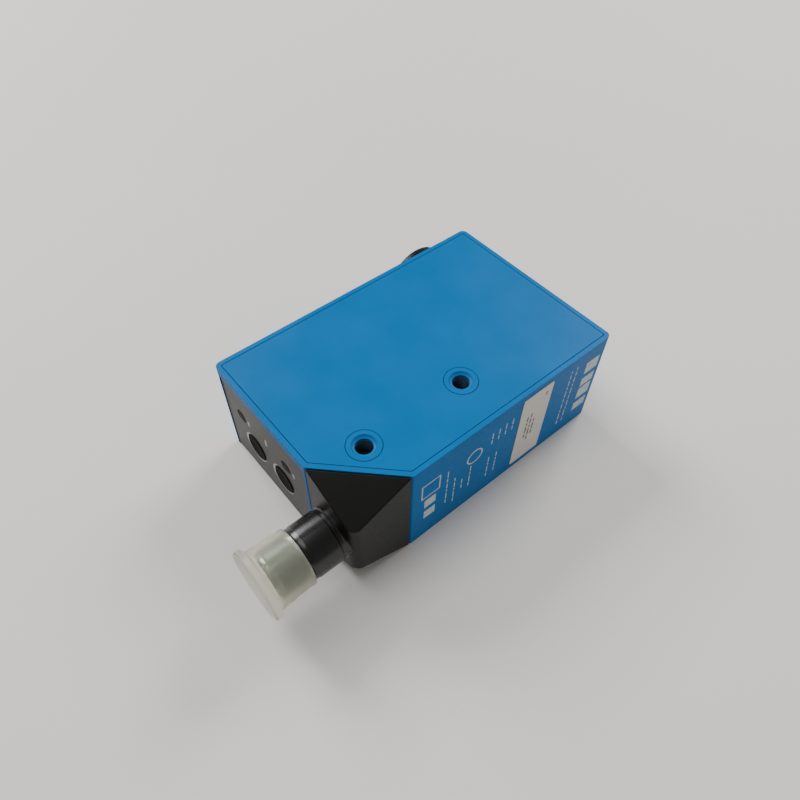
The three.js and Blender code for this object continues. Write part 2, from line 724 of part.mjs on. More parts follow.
function threadedSleeve() {
  const seatFront = neckLength + fineGap;
  return cut(
    turned([
      [0, -sleeveSeatDepth + fineGap], [sleeveSeatRadius - fineGap, -sleeveSeatDepth + fineGap],
      [sleeveSeatRadius - fineGap, seatFront], [sleeveRadius, seatFront], [sleeveRadius, neckLength + sleeveLength],
      [0, neckLength + sleeveLength],
    ], plugOrigin, plugAxis),
    rod(sleeveBore, plugOrigin, plugAxis, -sleeveSeatDepth - 1, neckLength + sleeveLength + 1),
  );
}

const contacts = [45, 135, 225, 315].map((degrees) => {
  const angle = THREE.MathUtils.degToRad(degrees);
  return [connectorY + contactCircle * Math.cos(angle), middle + contactCircle * Math.sin(angle)];
});

function contactCarrier() {
  const body = rod(sleeveBore - fineGap, plugOrigin, plugAxis, -sleeveSeatDepth + 0.3, neckLength);
  const key = box(sleeveEnd + 1.2, neckEnd + 1, connectorY - 0.6, connectorY + 0.6, middle + sleeveBore - 1.1,
    middle + sleeveBore - 0.25);
  const holes = contacts.map(([y, z]) => rod(contactRadius + 0.05, new THREE.Vector3(left, y, z), plugAxis, -5,
    neckLength + 1, 16));
  return cut(join(body, key), ...holes);
}

add('threaded_sleeve', threadedSleeve(), nickel());
add('contact_carrier', contactCarrier(), blackPlastic());
contacts.forEach(([y, z], i) => {
  add(`contact_pin_${i + 1}`, turned([
    [0, -3], [contactRadius, -3], [contactRadius, neckLength + contactLength - 0.4],
    [contactRadius - 0.25, neckLength + contactLength], [0, neckLength + contactLength],
  ], new THREE.Vector3(left, y, z), plugAxis, 16), finish(0xc9a24a, 0.3, 1));
});

function dustCap() {
  const mouth = neckLength + 0.15;
  const flangeFront = mouth + capLength - capFlangeThickness;
  return turned([
    [0, mouth + capLength],
    [capRadius + capFlange, mouth + capLength],
    [capRadius + capFlange, flangeFront],
    [capRadius + capFlare, flangeFront],
    [capRadius, mouth],
    [sleeveRadius + fineGap, mouth],
    [sleeveRadius + fineGap, mouth + capLength - capEnd],
    [0, mouth + capLength - capEnd],
  ], plugOrigin, plugAxis);
}

add('dust_cap', dustCap(), finish(0xc8c8b4, 0.4, 0));

export default sensor;
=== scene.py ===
"""Looks of a photoelectric sensor: every visible piece modelled around its mechanical frame.

The housing lies on its large face. +Z is up, +X runs away from the push buttons and the round plug,
and +Y towards the lens. All lengths are in metres.
"""

import json
import math

import bmesh
import bpy
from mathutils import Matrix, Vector


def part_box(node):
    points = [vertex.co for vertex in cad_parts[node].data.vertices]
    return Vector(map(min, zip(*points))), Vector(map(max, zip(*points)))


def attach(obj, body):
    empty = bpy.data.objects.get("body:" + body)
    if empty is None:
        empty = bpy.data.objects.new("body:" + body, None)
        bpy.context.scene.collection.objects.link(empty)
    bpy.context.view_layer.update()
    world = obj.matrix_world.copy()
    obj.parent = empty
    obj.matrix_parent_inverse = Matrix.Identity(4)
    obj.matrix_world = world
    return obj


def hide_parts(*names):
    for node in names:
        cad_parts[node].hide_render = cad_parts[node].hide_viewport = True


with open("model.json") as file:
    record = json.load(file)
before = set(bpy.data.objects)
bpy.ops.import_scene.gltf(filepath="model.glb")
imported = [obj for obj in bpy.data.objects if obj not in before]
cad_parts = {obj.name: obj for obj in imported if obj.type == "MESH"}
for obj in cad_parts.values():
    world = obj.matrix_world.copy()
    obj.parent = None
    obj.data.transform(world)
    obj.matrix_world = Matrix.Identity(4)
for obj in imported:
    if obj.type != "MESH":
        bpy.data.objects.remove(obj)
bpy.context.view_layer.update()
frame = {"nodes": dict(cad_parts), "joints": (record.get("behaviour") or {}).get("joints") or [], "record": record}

bl_info = {
    "name": "Photoelectric sensor",
    "version": (1, 0, 0),
    "blender": (4, 5, 0),
    "location": "3D View > Sidebar > Sensor",
    "description": "Models the visible pieces of a photoelectric sensor and sets its stage",
    "category": "Add Mesh",
}

# ---------------------------------------------------------------- places taken from the frame

MM = 0.001
HAIR = 0.02 * MM
X = Vector((1, 0, 0))
Y = Vector((0, 1, 0))
Z = Vector((0, 0, 1))
MOUNTS = {mount["name"]: Vector(mount["pos_m"]) for mount in frame["record"]["mounts"]}
SWIVEL = next(joint for joint in frame["joints"] if joint["name"] == "connector_swivel")
CUT_MIDDLE = Vector(SWIVEL["pos_m"])
OUTWARD = -Vector(SWIVEL["axis"]).normalized()
LOW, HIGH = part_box("housing_body")
MIDDLE = (LOW.z + HIGH.z) / 2
CUT = 2 * (CUT_MIDDLE.x - LOW.x)
SIDES = ("right", "left")


def centre_of(node):
    """The middle of a solid of the frame."""
    low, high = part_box(node)
    return (low + high) / 2


def linear(shade):
    """An sRGB hex colour as linear red, green, blue and full opacity."""
    parts = [int(shade[i:i + 2], 16) / 255 for i in (1, 3, 5)]
    light = [p / 12.92 if p <= 0.04045 else ((p + 0.055) / 1.055) ** 2.4 for p in parts]
    return (*light, 1.0)


# ---------------------------------------------------------------- sizes and colours a user may change

def length_setting(label, meaning, millimetres):
    """A length property with its default given in millimetres."""
    return bpy.props.FloatProperty(
        name=label, description=meaning, default=millimetres * MM, min=0.0, unit="LENGTH", precision=5)


def colour_setting(label, meaning, shade):
    """A colour property with its default given as sRGB hex."""
    return bpy.props.FloatVectorProperty(
        name=label, description=meaning, subtype="COLOR", size=4, min=0.0, max=1.0, default=linear(shade))


class SensorSizes(bpy.types.PropertyGroup):
    """Sizes of the sensor's modelled details"""

    wall: length_setting("Wall", "Thickness of the die-cast walls and floor", 2.6)
    rim: length_setting("Rim", "Width of the housing's rim around its cover", 1.2)
    seam: length_setting("Seam", "Gap around the cover", 0.15)
    corner: length_setting("Corners", "Radius of the housing's upright corners", 1.5)
    cut_corner: length_setting("Cut corners", "Radius of the two upright edges beside the cut", 0.6)
    softness: length_setting("Edge softness", "Rounding that lacquer leaves on die-cast edges", 0.22)
    boss: length_setting("Boss", "Radius of the threaded fixing bosses", 4.0)
    boss_ring: length_setting("Boss ring", "From a boss's axis to the middle of its end ring", 3.3)
    thread: length_setting("Fixing thread", "Radius of the M5 fixing thread", 2.5)
    thread_core: length_setting("Thread core", "Radius of the M5 thread's core", 2.1)
    thread_depth: length_setting("Thread depth", "Depth of the fixing holes", 5.5)
    port: length_setting("Port", "Radius of the two optical ports", 8.3)
    panel: length_setting("Panel", "Thickness of the control panel", 1.0)
    panel_recess: length_setting("Panel recess", "Depth of the recess that the panel sits in", 1.6)
    button: length_setting("Button", "Radius of a push button", 3.75)
    window: length_setting("Window", "Radius of an indicator window", 1.8)
    swivel_gap: length_setting("Swivel gap", "Joint between the connector block and the housing", 0.3)
    journal: length_setting("Journal", "Radius of the connector block's hollow journal", 6.3)
    block_drop: length_setting("Facet drop", "Height that each facet loses at the block's edge", 6.4)
    block_corner: length_setting("Block corner", "Radius of the block's outer upright edge", 2.4)
    neck: length_setting("Neck", "Radius of the plastic collar behind the threaded sleeve", 6.5)
    sleeve: length_setting("Sleeve", "Outer radius of the M12 threaded sleeve", 6.0)
    cap_wall: length_setting("Cap wall", "Wall thickness of the dust cap", 0.8)


class SensorColours(bpy.types.PropertyGroup):
    """Colours of the sensor's finishes"""

    lacquer: colour_setting("Lacquer", "Blue lacquer of the housing and cover", "#00609d")
    polyamide: colour_setting("Polyamide", "Black moulded plastic", "#0c0b0a")
    panel: colour_setting("Panel", "Grey film of the control panel", "#413f3d")
    # The ink colour also paints the highlights beside the panel's buttons.
    ink: colour_setting("Ink", "Pale pad-printed ink", "#c3cdd0")
    label: colour_setting("Label", "Film of the rating label", "#c9c4bb")
    cap: colour_setting("Cap", "Translucent plastic of the dust cap", "#f4f4e3")
    floor: colour_setting("Floor", "Floor that the sensor lies on", "#d9d6d2")


# ---------------------------------------------------------------- modelling helpers

def clear_selection():
    """Leave edit mode and deselect everything."""
    if bpy.context.object and bpy.context.object.mode != "OBJECT":
        bpy.ops.object.mode_set(mode="OBJECT")
    bpy.ops.object.select_all(action="DESELECT")


def take(piece):
    """Make one piece the only selected and the active one."""
    clear_selection()
    piece.select_set(True)
    bpy.context.view_layer.objects.active = piece


def edit(piece, everything=False):
    """Open a piece in edit mode with nothing or everything of it selected."""
    take(piece)
    bpy.ops.object.mode_set(mode="EDIT")
    bpy.ops.mesh.select_mode(type="VERT")
    bpy.ops.mesh.select_all(action="SELECT" if everything else "DESELECT")


def leave():
    """Go back from edit mode to object mode."""
    bpy.ops.object.mode_set(mode="OBJECT")


def keep(name):
    """Name the primitive just added and put its place in its mesh."""
    piece = bpy.context.object
    piece.name = name
    piece.data.name = name
    bpy.ops.object.transform_apply(location=True, rotation=True, scale=True)
    return piece


def pick(piece, kind, test, crease=0.0):
    """Select faces, or edges at least as sharp as a crease, whose middle and direction pass a test."""
    bpy.ops.mesh.select_mode(type="FACE" if kind == "faces" else "EDGE")
    bpy.ops.mesh.select_all(action="DESELECT")
    shape = bmesh.from_edit_mesh(piece.data)
    shape.normal_update()
    for part in getattr(shape, kind):
        if kind == "edges" and part.calc_face_angle(0.0) < crease:
            continue
        if kind == "faces":
            middle, direction = part.calc_center_median(), part.normal
        else:
            first, second = (corner.co for corner in part.verts)
            middle, direction = (first + second) / 2, (second - first).normalized()
        if test(middle, direction):
            part.select_set(True)
    shape.select_flush_mode()
    bmesh.update_edit_mesh(piece.data)


def push(way):
    """Extrude what is selected along a way."""
    bpy.ops.mesh.extrude_region_move(TRANSFORM_OT_translate={"value": way, "orient_type": "GLOBAL"})


def block(name, low, high, turn=0.0):
    """A box between two corners, turned about its own upright axis."""
    clear_selection()
    size = high - low
    bpy.ops.mesh.primitive_cube_add(size=1, location=(low + high) / 2, rotation=(0, 0, turn), scale=size)
    return keep(name)


def bevel_edges(piece, test, radius, segments=10):
    """Round the edges that pass a test."""
    edit(piece)
    pick(piece, "edges", test)
    bpy.ops.mesh.bevel(offset=radius, offset_type="OFFSET", segments=segments, profile=0.5, affect="EDGES")
    leave()


def soften(piece, test, width, segments=3, angle=35):
    """Round the creases that are sharper than an angle and pass a test."""
    edit(piece)
    pick(piece, "edges", test, math.radians(angle))
    bpy.ops.mesh.bevel(offset=width, offset_type="OFFSET", segments=segments, profile=0.5, affect="EDGES",
                       clamp_overlap=True, miter_outer="ARC")
    leave()


def slice_off(piece, point, direction):
    """Cut away what lies beyond a plane, and close the cut."""
    edit(piece, everything=True)
    bpy.ops.mesh.bisect(plane_co=point, plane_no=direction, use_fill=True, clear_outer=True)
    leave()


def turned(name, profile, centre, axis, steps=96, ring=False):
    """Turn a piece from pairs of radius and distance along an axis. A ring's last pair meets its first."""
    clear_selection()
    radius, along = profile[0]
    bpy.ops.mesh.primitive_circle_add(
        vertices=steps, radius=radius, fill_type="NOTHING", location=centre + axis * along,
        rotation=axis.to_track_quat("Z", "Y").to_euler())
    piece = keep(name)
    edit(piece, everything=True)
    for next_radius, next_along in profile[1:]:
        push(axis * (next_along - along))
        grow = next_radius / radius
        bpy.ops.transform.resize(value=(grow, grow, grow), center_override=centre + axis * next_along)
        radius, along = next_radius, next_along
    bpy.ops.mesh.select_all(action="SELECT")
    bpy.ops.mesh.remove_doubles(threshold=HAIR / 20)
    if not ring:
        bpy.ops.mesh.fill_holes(sides=0)
    bpy.ops.mesh.select_all(action="SELECT")
    bpy.ops.mesh.normals_make_consistent(inside=False)
    leave()
    return piece


def rod(name, radius, centre, axis, start, end, steps=96):
    """A solid round bar between two distances along an axis."""
    return turned(name, [(radius, start), (radius, end)], centre, axis, steps)


def hoop(name, inner, outer, centre, axis, start, end, steps=96):
    """A plain ring between two radii and two distances along an axis."""
    profile = [(inner, start), (outer, start), (outer, end), (inner, end), (inner, start)]
    return turned(name, profile, centre, axis, steps, ring=True)


def brick(name, spot, half):
    """A block given by its middle and half its size each way."""
    return block(name, spot - half, spot + half)


def combine(piece, other, how="DIFFERENCE"):
    """Cut another piece away from this one, or join it on, and use it up."""
    take(piece)
    step = piece.modifiers.new("combine", "BOOLEAN")
    step.operation = how
    step.solver = "EXACT"
    step.object = other
    bpy.ops.object.modifier_apply(modifier=step.name)
    bpy.data.objects.remove(other)


def round_edges(piece, width, segments=3, angle=35):
    """Round every crease sharper than an angle."""
    take(piece)
    step = piece.modifiers.new("round", "BEVEL")
    step.width = width
    step.segments = segments
    step.limit_method = "ANGLE"
    step.angle_limit = math.radians(angle)
    step.miter_outer = "MITER_ARC"
    step.use_clamp_overlap = True
    bpy.ops.object.modifier_apply(modifier=step.name)


def smooth(piece, angle=32, weighted=True):
    """Shade a piece smooth up to an angle, with its large faces kept flat."""
    take(piece)
    bpy.ops.object.shade_smooth_by_angle(angle=math.radians(angle))
    if weighted:
        step = piece.modifiers.new("flat faces", "WEIGHTED_NORMAL")
        step.keep_sharp = True
        bpy.ops.object.modifier_apply(modifier=step.name)


def join(name, pieces):
    """Several pieces as one."""
    clear_selection()
    for piece in pieces:
        piece.select_set(True)
    bpy.context.view_layer.objects.active = pieces[0]
    bpy.ops.object.join()
    pieces[0].name = name
    pieces[0].data.name = name
    return pieces[0]


def paint(piece, finish, test):
    """Give the faces that pass a test a finish of their own."""
    piece.data.materials.append(finish)
    for face in piece.data.polygons:
        if test(face.center):
            face.material_index = len(piece.data.materials) - 1


def settle(piece, body, slot, finish, *nodes):
    """Give a finished piece its material, the body it rides on and the solids it stands for."""
    piece.data.materials.clear()
    piece.data.materials.append(finish)
    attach(piece, body)
    if nodes:
        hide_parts(*nodes)


# ---------------------------------------------------------------- material helpers

def add_node(tree, kind, inputs=None, **settings):
    """Add a node, set its properties, and set or link its inputs."""
    node = tree.nodes.new(kind)
    for name, value in settings.items():
        setattr(node, name, value)
    for name, value in (inputs or {}).items():
        if isinstance(value, bpy.types.NodeSocket):
            tree.links.new(value, node.inputs[name])
        else:
            node.inputs[name].default_value = value
    return node


def darker(colour, share):
    """A linear colour with its light scaled."""
    return (*(part * share for part in colour[:3]), 1.0)


def start_finish():
    """A new material's node tree, and the place on the object that its patterns read."""
    material = bpy.data.materials.new("finish")
    material.use_nodes = True
    tree = material.node_tree
    tree.nodes.clear()
    return material, tree, add_node(tree, "ShaderNodeTexCoord").outputs["Object"]


def grained(tree, place, colours, patch, grain, gloss, relief):
    """Shader inputs for a colour that drifts over patches and a fine grain that breaks up the gloss."""
    patches = add_node(tree, "ShaderNodeTexNoise", {"Vector": place, "Scale": 1 / patch, "Detail": 4.0})
    grains = add_node(tree, "ShaderNodeTexNoise", {"Vector": place, "Scale": 1 / grain, "Detail": 2.0})
    drift = add_node(tree, "ShaderNodeMapRange", {
        "Value": patches.outputs[0], "From Min": 0.3, "From Max": 0.7, "To Min": 0.0, "To Max": 1.0})
    shade = add_node(tree, "ShaderNodeMix", {0: drift.outputs[0], 6: colours[0], 7: colours[1]},
                     data_type="RGBA")
    sheen = add_node(tree, "ShaderNodeMapRange", {
        "Value": grains.outputs[0], "From Min": 0.3, "From Max": 0.7,
        "To Min": gloss[0], "To Max": gloss[1]})
    bump = add_node(tree, "ShaderNodeBump", {
        "Height": grains.outputs[0], "Strength": 1.0, "Distance": relief})
    return {"Base Color": shade.outputs[2], "Roughness": sheen.outputs[0], "Normal": bump.outputs[0]}


def end_finish(name, material, tree, inputs):
    """Name a material and close it with its shader."""
    shader = add_node(tree, "ShaderNodeBsdfPrincipled", inputs)
    add_node(tree, "ShaderNodeOutputMaterial", {"Surface": shader.outputs[0]})
    material.name = name
    return material


def once(make):
    """Make a material the first time it is asked for."""
    kept = {}

    def give():
        if make.__name__ not in kept:
            kept[make.__name__] = make()
        return kept[make.__name__]

    return give


def colours():
    """The sensor's colour settings."""
    return bpy.context.scene.sensor_colours


# ---------------------------------------------------------------- materials

@once
def blue_lacquer():
    """Stoving lacquer sprayed on zinc die-cast: an even satin blue with a faint orange-peel ripple."""
    material, tree, place = start_finish()
    blue = tuple(colours().lacquer)
    # The ripple of sprayed lacquer is about 1 mm from crest to crest and a hundredth of a millimetre high.
    inputs = grained(tree, place, (darker(blue, 0.95), darker(blue, 1.05)), 14 * MM, 0.9 * MM, (0.44, 0.52),
                     0.012 * MM)
    return end_finish("blue stoving lacquer on die-cast zinc", material, tree, inputs | {
        "Specular IOR Level": 0.12})


@once
def hole_zinc_with_painted_shade():
    """Tapped zinc die-cast, turned a little blue by overspray: a dark metal, whose darkness is painted shade deep
    in the fixing holes.
    """
    material, tree, place = start_finish()
    # The dark blue-grey paints the shade inside the holes, over the overspray's blue tint.
    zinc = linear("#4d5f72")
    inputs = grained(tree, place, (darker(zinc, 0.6), zinc), 0.8 * MM, 0.3 * MM, (0.4, 0.55), 0.004 * MM)
    return end_finish("tapped zinc die-cast", material, tree, inputs | {"Metallic": 0.9})


@once
def black_polyamide():
    """Glass-filled polyamide moulded in a spark-eroded tool: a warm black with a dry, fine grain."""
    material, tree, place = start_finish()
    black = tuple(colours().polyamide)
    # Spark-eroded grain is near 0.1 mm, drawn at 0.35 mm so that it can be seen.
    inputs = grained(tree, place, (darker(black, 0.85), darker(black, 1.2)), 5 * MM, 0.35 * MM, (0.34, 0.46),
                     0.015 * MM)
    return end_finish("black glass-filled polyamide", material, tree, inputs | {
        "IOR": 1.53, "Specular IOR Level": 0.22})


@once
def glossy_polyamide():
    """The same polyamide moulded against a polished core: smoother, so that soft highlights show."""
    material, tree, place = start_finish()
    black = tuple(colours().polyamide)
    inputs = grained(tree, place, (darker(black, 0.8), darker(black, 1.1)), 4 * MM, 0.5 * MM, (0.24, 0.28),
                     0.0005 * MM)
    return end_finish("black polyamide from a polished mould", material, tree, inputs | {"IOR": 1.53})


@once
def blasted_polyamide():
    """The same polyamide from a blasted mould: dead matt, so that it stands out from the film around it."""
    material, tree, place = start_finish()
    black = linear("#100f0e")
    inputs = grained(tree, place, (black, darker(black, 2.0)), 2 * MM, 0.3 * MM, (0.75, 0.9), 0.01 * MM)
    return end_finish("black polyamide from a blasted mould", material, tree, inputs | {
        "Specular IOR Level": 0.12})


@once
def grey_film():
    """Polyester overlay with a fine matt emboss: a soft grey that spreads highlights widely."""
    material, tree, place = start_finish()
    grey = tuple(colours().panel)
    # The emboss is about 0.05 mm, drawn at 0.25 mm so that it can be seen.
    inputs = grained(tree, place, (darker(grey, 0.92), darker(grey, 1.08)), 6 * MM, 0.25 * MM, (0.42, 0.54),
                     0.01 * MM)
    return end_finish("grey embossed polyester film", material, tree, inputs | {"Specular IOR Level": 0.3})


@once
def pale_ink_and_highlight():
    """Pad-printed ink: thin and slightly uneven, with pinholes where the pad picked up less. Beside the panel's
    buttons the same finish paints highlights.
    """
    material, tree, place = start_finish()
    ink = tuple(colours().ink)
    inputs = grained(tree, place, (darker(ink, 0.62), ink), 0.6 * MM, 0.2 * MM, (0.5, 0.65), 0.004 * MM)
    return end_finish("pale pad-printed ink", material, tree, inputs)


@once
def dark_ink():
    """Thermal-transfer print on the label: a soft dark grey, a little mottled by the ribbon."""
    material, tree, place = start_finish()
    ink = linear("#4c4a48")
    inputs = grained(tree, place, (darker(ink, 0.7), darker(ink, 1.6)), 0.5 * MM, 0.2 * MM, (0.4, 0.5),
                     0.003 * MM)
    return end_finish("dark thermal-transfer print", material, tree, inputs)


@once
def label_film():
    """Polyester label stock with a matt topcoat: off-white, slightly cloudy, with a low sheen."""
    material, tree, place = start_finish()
    film = tuple(colours().label)
    inputs = grained(tree, place, (darker(film, 0.93), film), 3 * MM, 0.3 * MM, (0.4, 0.5), 0.004 * MM)
    return end_finish("matt polyester label stock", material, tree, inputs)


@once
def black_anodised():
    """Turned and black-anodised aluminium: near-black metal with a soft silky shine."""
    material, tree, place = start_finish()
    black = linear("#2f3034")
    # The feed marks of turning are about 0.1 mm apart, drawn at 0.3 mm so that they can be seen.
    inputs = grained(tree, place, (darker(black, 0.8), darker(black, 1.2)), 4 * MM, 0.3 * MM, (0.28, 0.4),
                     0.006 * MM)
    return end_finish("black anodised aluminium", material, tree, inputs | {"Metallic": 0.75})


@once
def nickel_brass():
    """Nickel-plated machined brass: a grey silver shine, a little cloudy from handling."""
    material, tree, place = start_finish()
    nickel = linear("#8f989c")
    inputs = grained(tree, place, (darker(nickel, 0.8), nickel), 2 * MM, 0.4 * MM, (0.2, 0.34), 0.003 * MM)
    return end_finish("nickel-plated brass", material, tree, inputs | {"Metallic": 1.0})


@once
def cap_polyethylene():
    """Low-density polyethylene: milky and waxy, so that what is behind it shows blurred and yellowish."""
    material, tree, place = start_finish()
    milk = tuple(colours().cap)
    # Flow clouds from moulding are a few millimetres wide.
    clouds = add_node(tree, "ShaderNodeTexNoise", {"Vector": place, "Scale": 1 / (3 * MM), "Detail": 1.0})
    shade = add_node(tree, "ShaderNodeMix", {0: clouds.outputs[0], 6: darker(milk, 0.94), 7: milk},
                     data_type="RGBA")
    return end_finish("natural low-density polyethylene", material, tree, {
        "Base Color": shade.outputs[2], "Roughness": 0.3, "IOR": 1.3, "Transmission Weight": 0.9})


@once
def window_plastic():
    """Smoked polycarbonate light pipe with a blasted face: nearly black, with very little shine."""
    material, tree, place = start_finish()
    smoke = linear("#1c1d19")
    inputs = grained(tree, place, (darker(smoke, 0.5), smoke), 1 * MM, 0.3 * MM, (0.6, 0.7), 0.002 * MM)
    return end_finish("smoked polycarbonate", material, tree, inputs | {
        "IOR": 1.58, "Transmission Weight": 0.1, "Specular IOR Level": 0.1})


@once
def lens_glass():
    """Polished crown glass: colourless, with a faint haze and ripple."""
    material, tree, place = start_finish()
    clear = linear("#eef4f5")
    inputs = grained(tree, place, (darker(clear, 0.97), clear), 5 * MM, 2 * MM, (0.01, 0.05), 0.0005 * MM)
    return end_finish("polished crown glass", material, tree, inputs | {
        "IOR": 1.52, "Transmission Weight": 1.0})


@once
def black_rubber():
    """Nitrile rubber moulding: dull black with a dusty bloom."""
    material, tree, place = start_finish()
    rubber = linear("#1d1d1d")
    inputs = grained(tree, place, (rubber, darker(rubber, 1.8)), 2 * MM, 0.3 * MM, (0.7, 0.85), 0.02 * MM)
    return end_finish("nitrile rubber", material, tree, inputs)


@once
def circuit_board():
    """Glass-epoxy board under green solder mask: glossy, with copper tracks showing as lighter lines."""
    material, tree, place = start_finish()
    green = linear("#1d5a36")
    inputs = grained(tree, place, (darker(green, 0.9), green), 4 * MM, 0.4 * MM, (0.25, 0.35), 0.01 * MM)
    # Tracks run about 1.2 mm apart and are 0.3 mm wide.
    tracks = add_node(tree, "ShaderNodeTexBrick", {
        "Vector": place, "Scale": 1.0, "Color1": green, "Color2": darker(green, 0.85),
        "Mortar": linear("#4d8a4b"), "Mortar Size": 0.15 * MM, "Brick Width": 6 * MM,
        "Row Height": 1.2 * MM})
    return end_finish("glass-epoxy board with green solder mask", material, tree, inputs | {
        "Base Color": tracks.outputs["Color"]})


@once
def zinc_steel():
    """Zinc-plated steel: a cool grey shine with a cloudy crystalline bloom."""
    material, tree, place = start_finish()
    steel = linear("#b5b8bb")
    inputs = grained(tree, place, (darker(steel, 0.8), steel), 1.5 * MM, 0.4 * MM, (0.25, 0.4), 0.004 * MM)
    return end_finish("zinc-plated steel", material, tree, inputs | {"Metallic": 1.0})


@once
def gold_contact():
    """Gold flash on turned brass pins: warm and bright."""
    material, tree, place = start_finish()
    gold = linear("#d8aa55")
    inputs = grained(tree, place, (darker(gold, 0.85), gold), 1 * MM, 0.2 * MM, (0.18, 0.28), 0.002 * MM)
    return end_finish("gold-flashed brass", material, tree, inputs | {"Metallic": 1.0})


@once
def white_nylon():
    """Natural nylon of connectors and light bodies: off-white with a slight sheen."""
    material, tree, place = start_finish()
    nylon = linear("#e4e0d2")
    inputs = grained(tree, place, (darker(nylon, 0.92), nylon), 3 * MM, 0.3 * MM, (0.4, 0.5), 0.008 * MM)
    return end_finish("natural nylon", material, tree, inputs | {"Subsurface Weight": 0.1})


@once
def capacitor_sleeve():
    """Heat-shrunk film on a capacitor: dark blue-grey and glossy, with fine shrink wrinkles."""
    material, tree, place = start_finish()
    film = linear("#2b3040")
    inputs = grained(tree, place, (darker(film, 0.85), film), 3 * MM, 0.6 * MM, (0.2, 0.3), 0.01 * MM)
    return end_finish("heat-shrunk capacitor film", material, tree, inputs)


@once
def pale_floor():
    """Plain matt laminate table: warm pale grey with a barely visible texture."""
    material, tree, place = start_finish()
    pale = tuple(colours().floor)
    inputs = grained(tree, place, (darker(pale, 0.985), pale), 80 * MM, 1.5 * MM, (0.6, 0.7), 0.004 * MM)
    return end_finish("pale matt laminate", material, tree, inputs)


# ---------------------------------------------------------------- pieces

def outline_block(name, bottom, top, inset=0.0):
    """A block with the housing's outline, drawn in all round."""
    margin = Vector((inset, inset, 0))
    piece = block(name, Vector((LOW.x, LOW.y, bottom)) + margin, Vector((HIGH.x, HIGH.y, top)) - margin)
    slice_off(piece, CUT_MIDDLE - OUTWARD * inset, OUTWARD)
    return piece


def upright(direction):
    """Whether a direction runs along Z."""
    return abs(direction.z) > 0.99


def beyond_cut(point):
    """How far a point lies outside the plane of the cut corner."""
    return (point - CUT_MIDDLE).dot(OUTWARD)


def edge_inset(point):
    """How far a point lies inside the housing's outline."""
    return min(point.x - LOW.x, HIGH.x - point.x, point.y - LOW.y, HIGH.y - point.y, -beyond_cut(point))


def boss_axes():
    """Where the two fixing bosses stand on the underside."""
    offset = bpy.context.scene.sensor_sizes.boss_ring
    return [MOUNTS[name] - X * offset for name in ("near_boss_underside", "far_boss_underside")]


def thread_rings(core, crest, pitch, start, end):
    """Radius and distance pairs of a thread's turns."""
    turns = round((end - start) / pitch)
    return [pair for turn in range(turns) for pair in (
        (core, start + turn * pitch), (crest, start + (turn + 0.5) * pitch))]


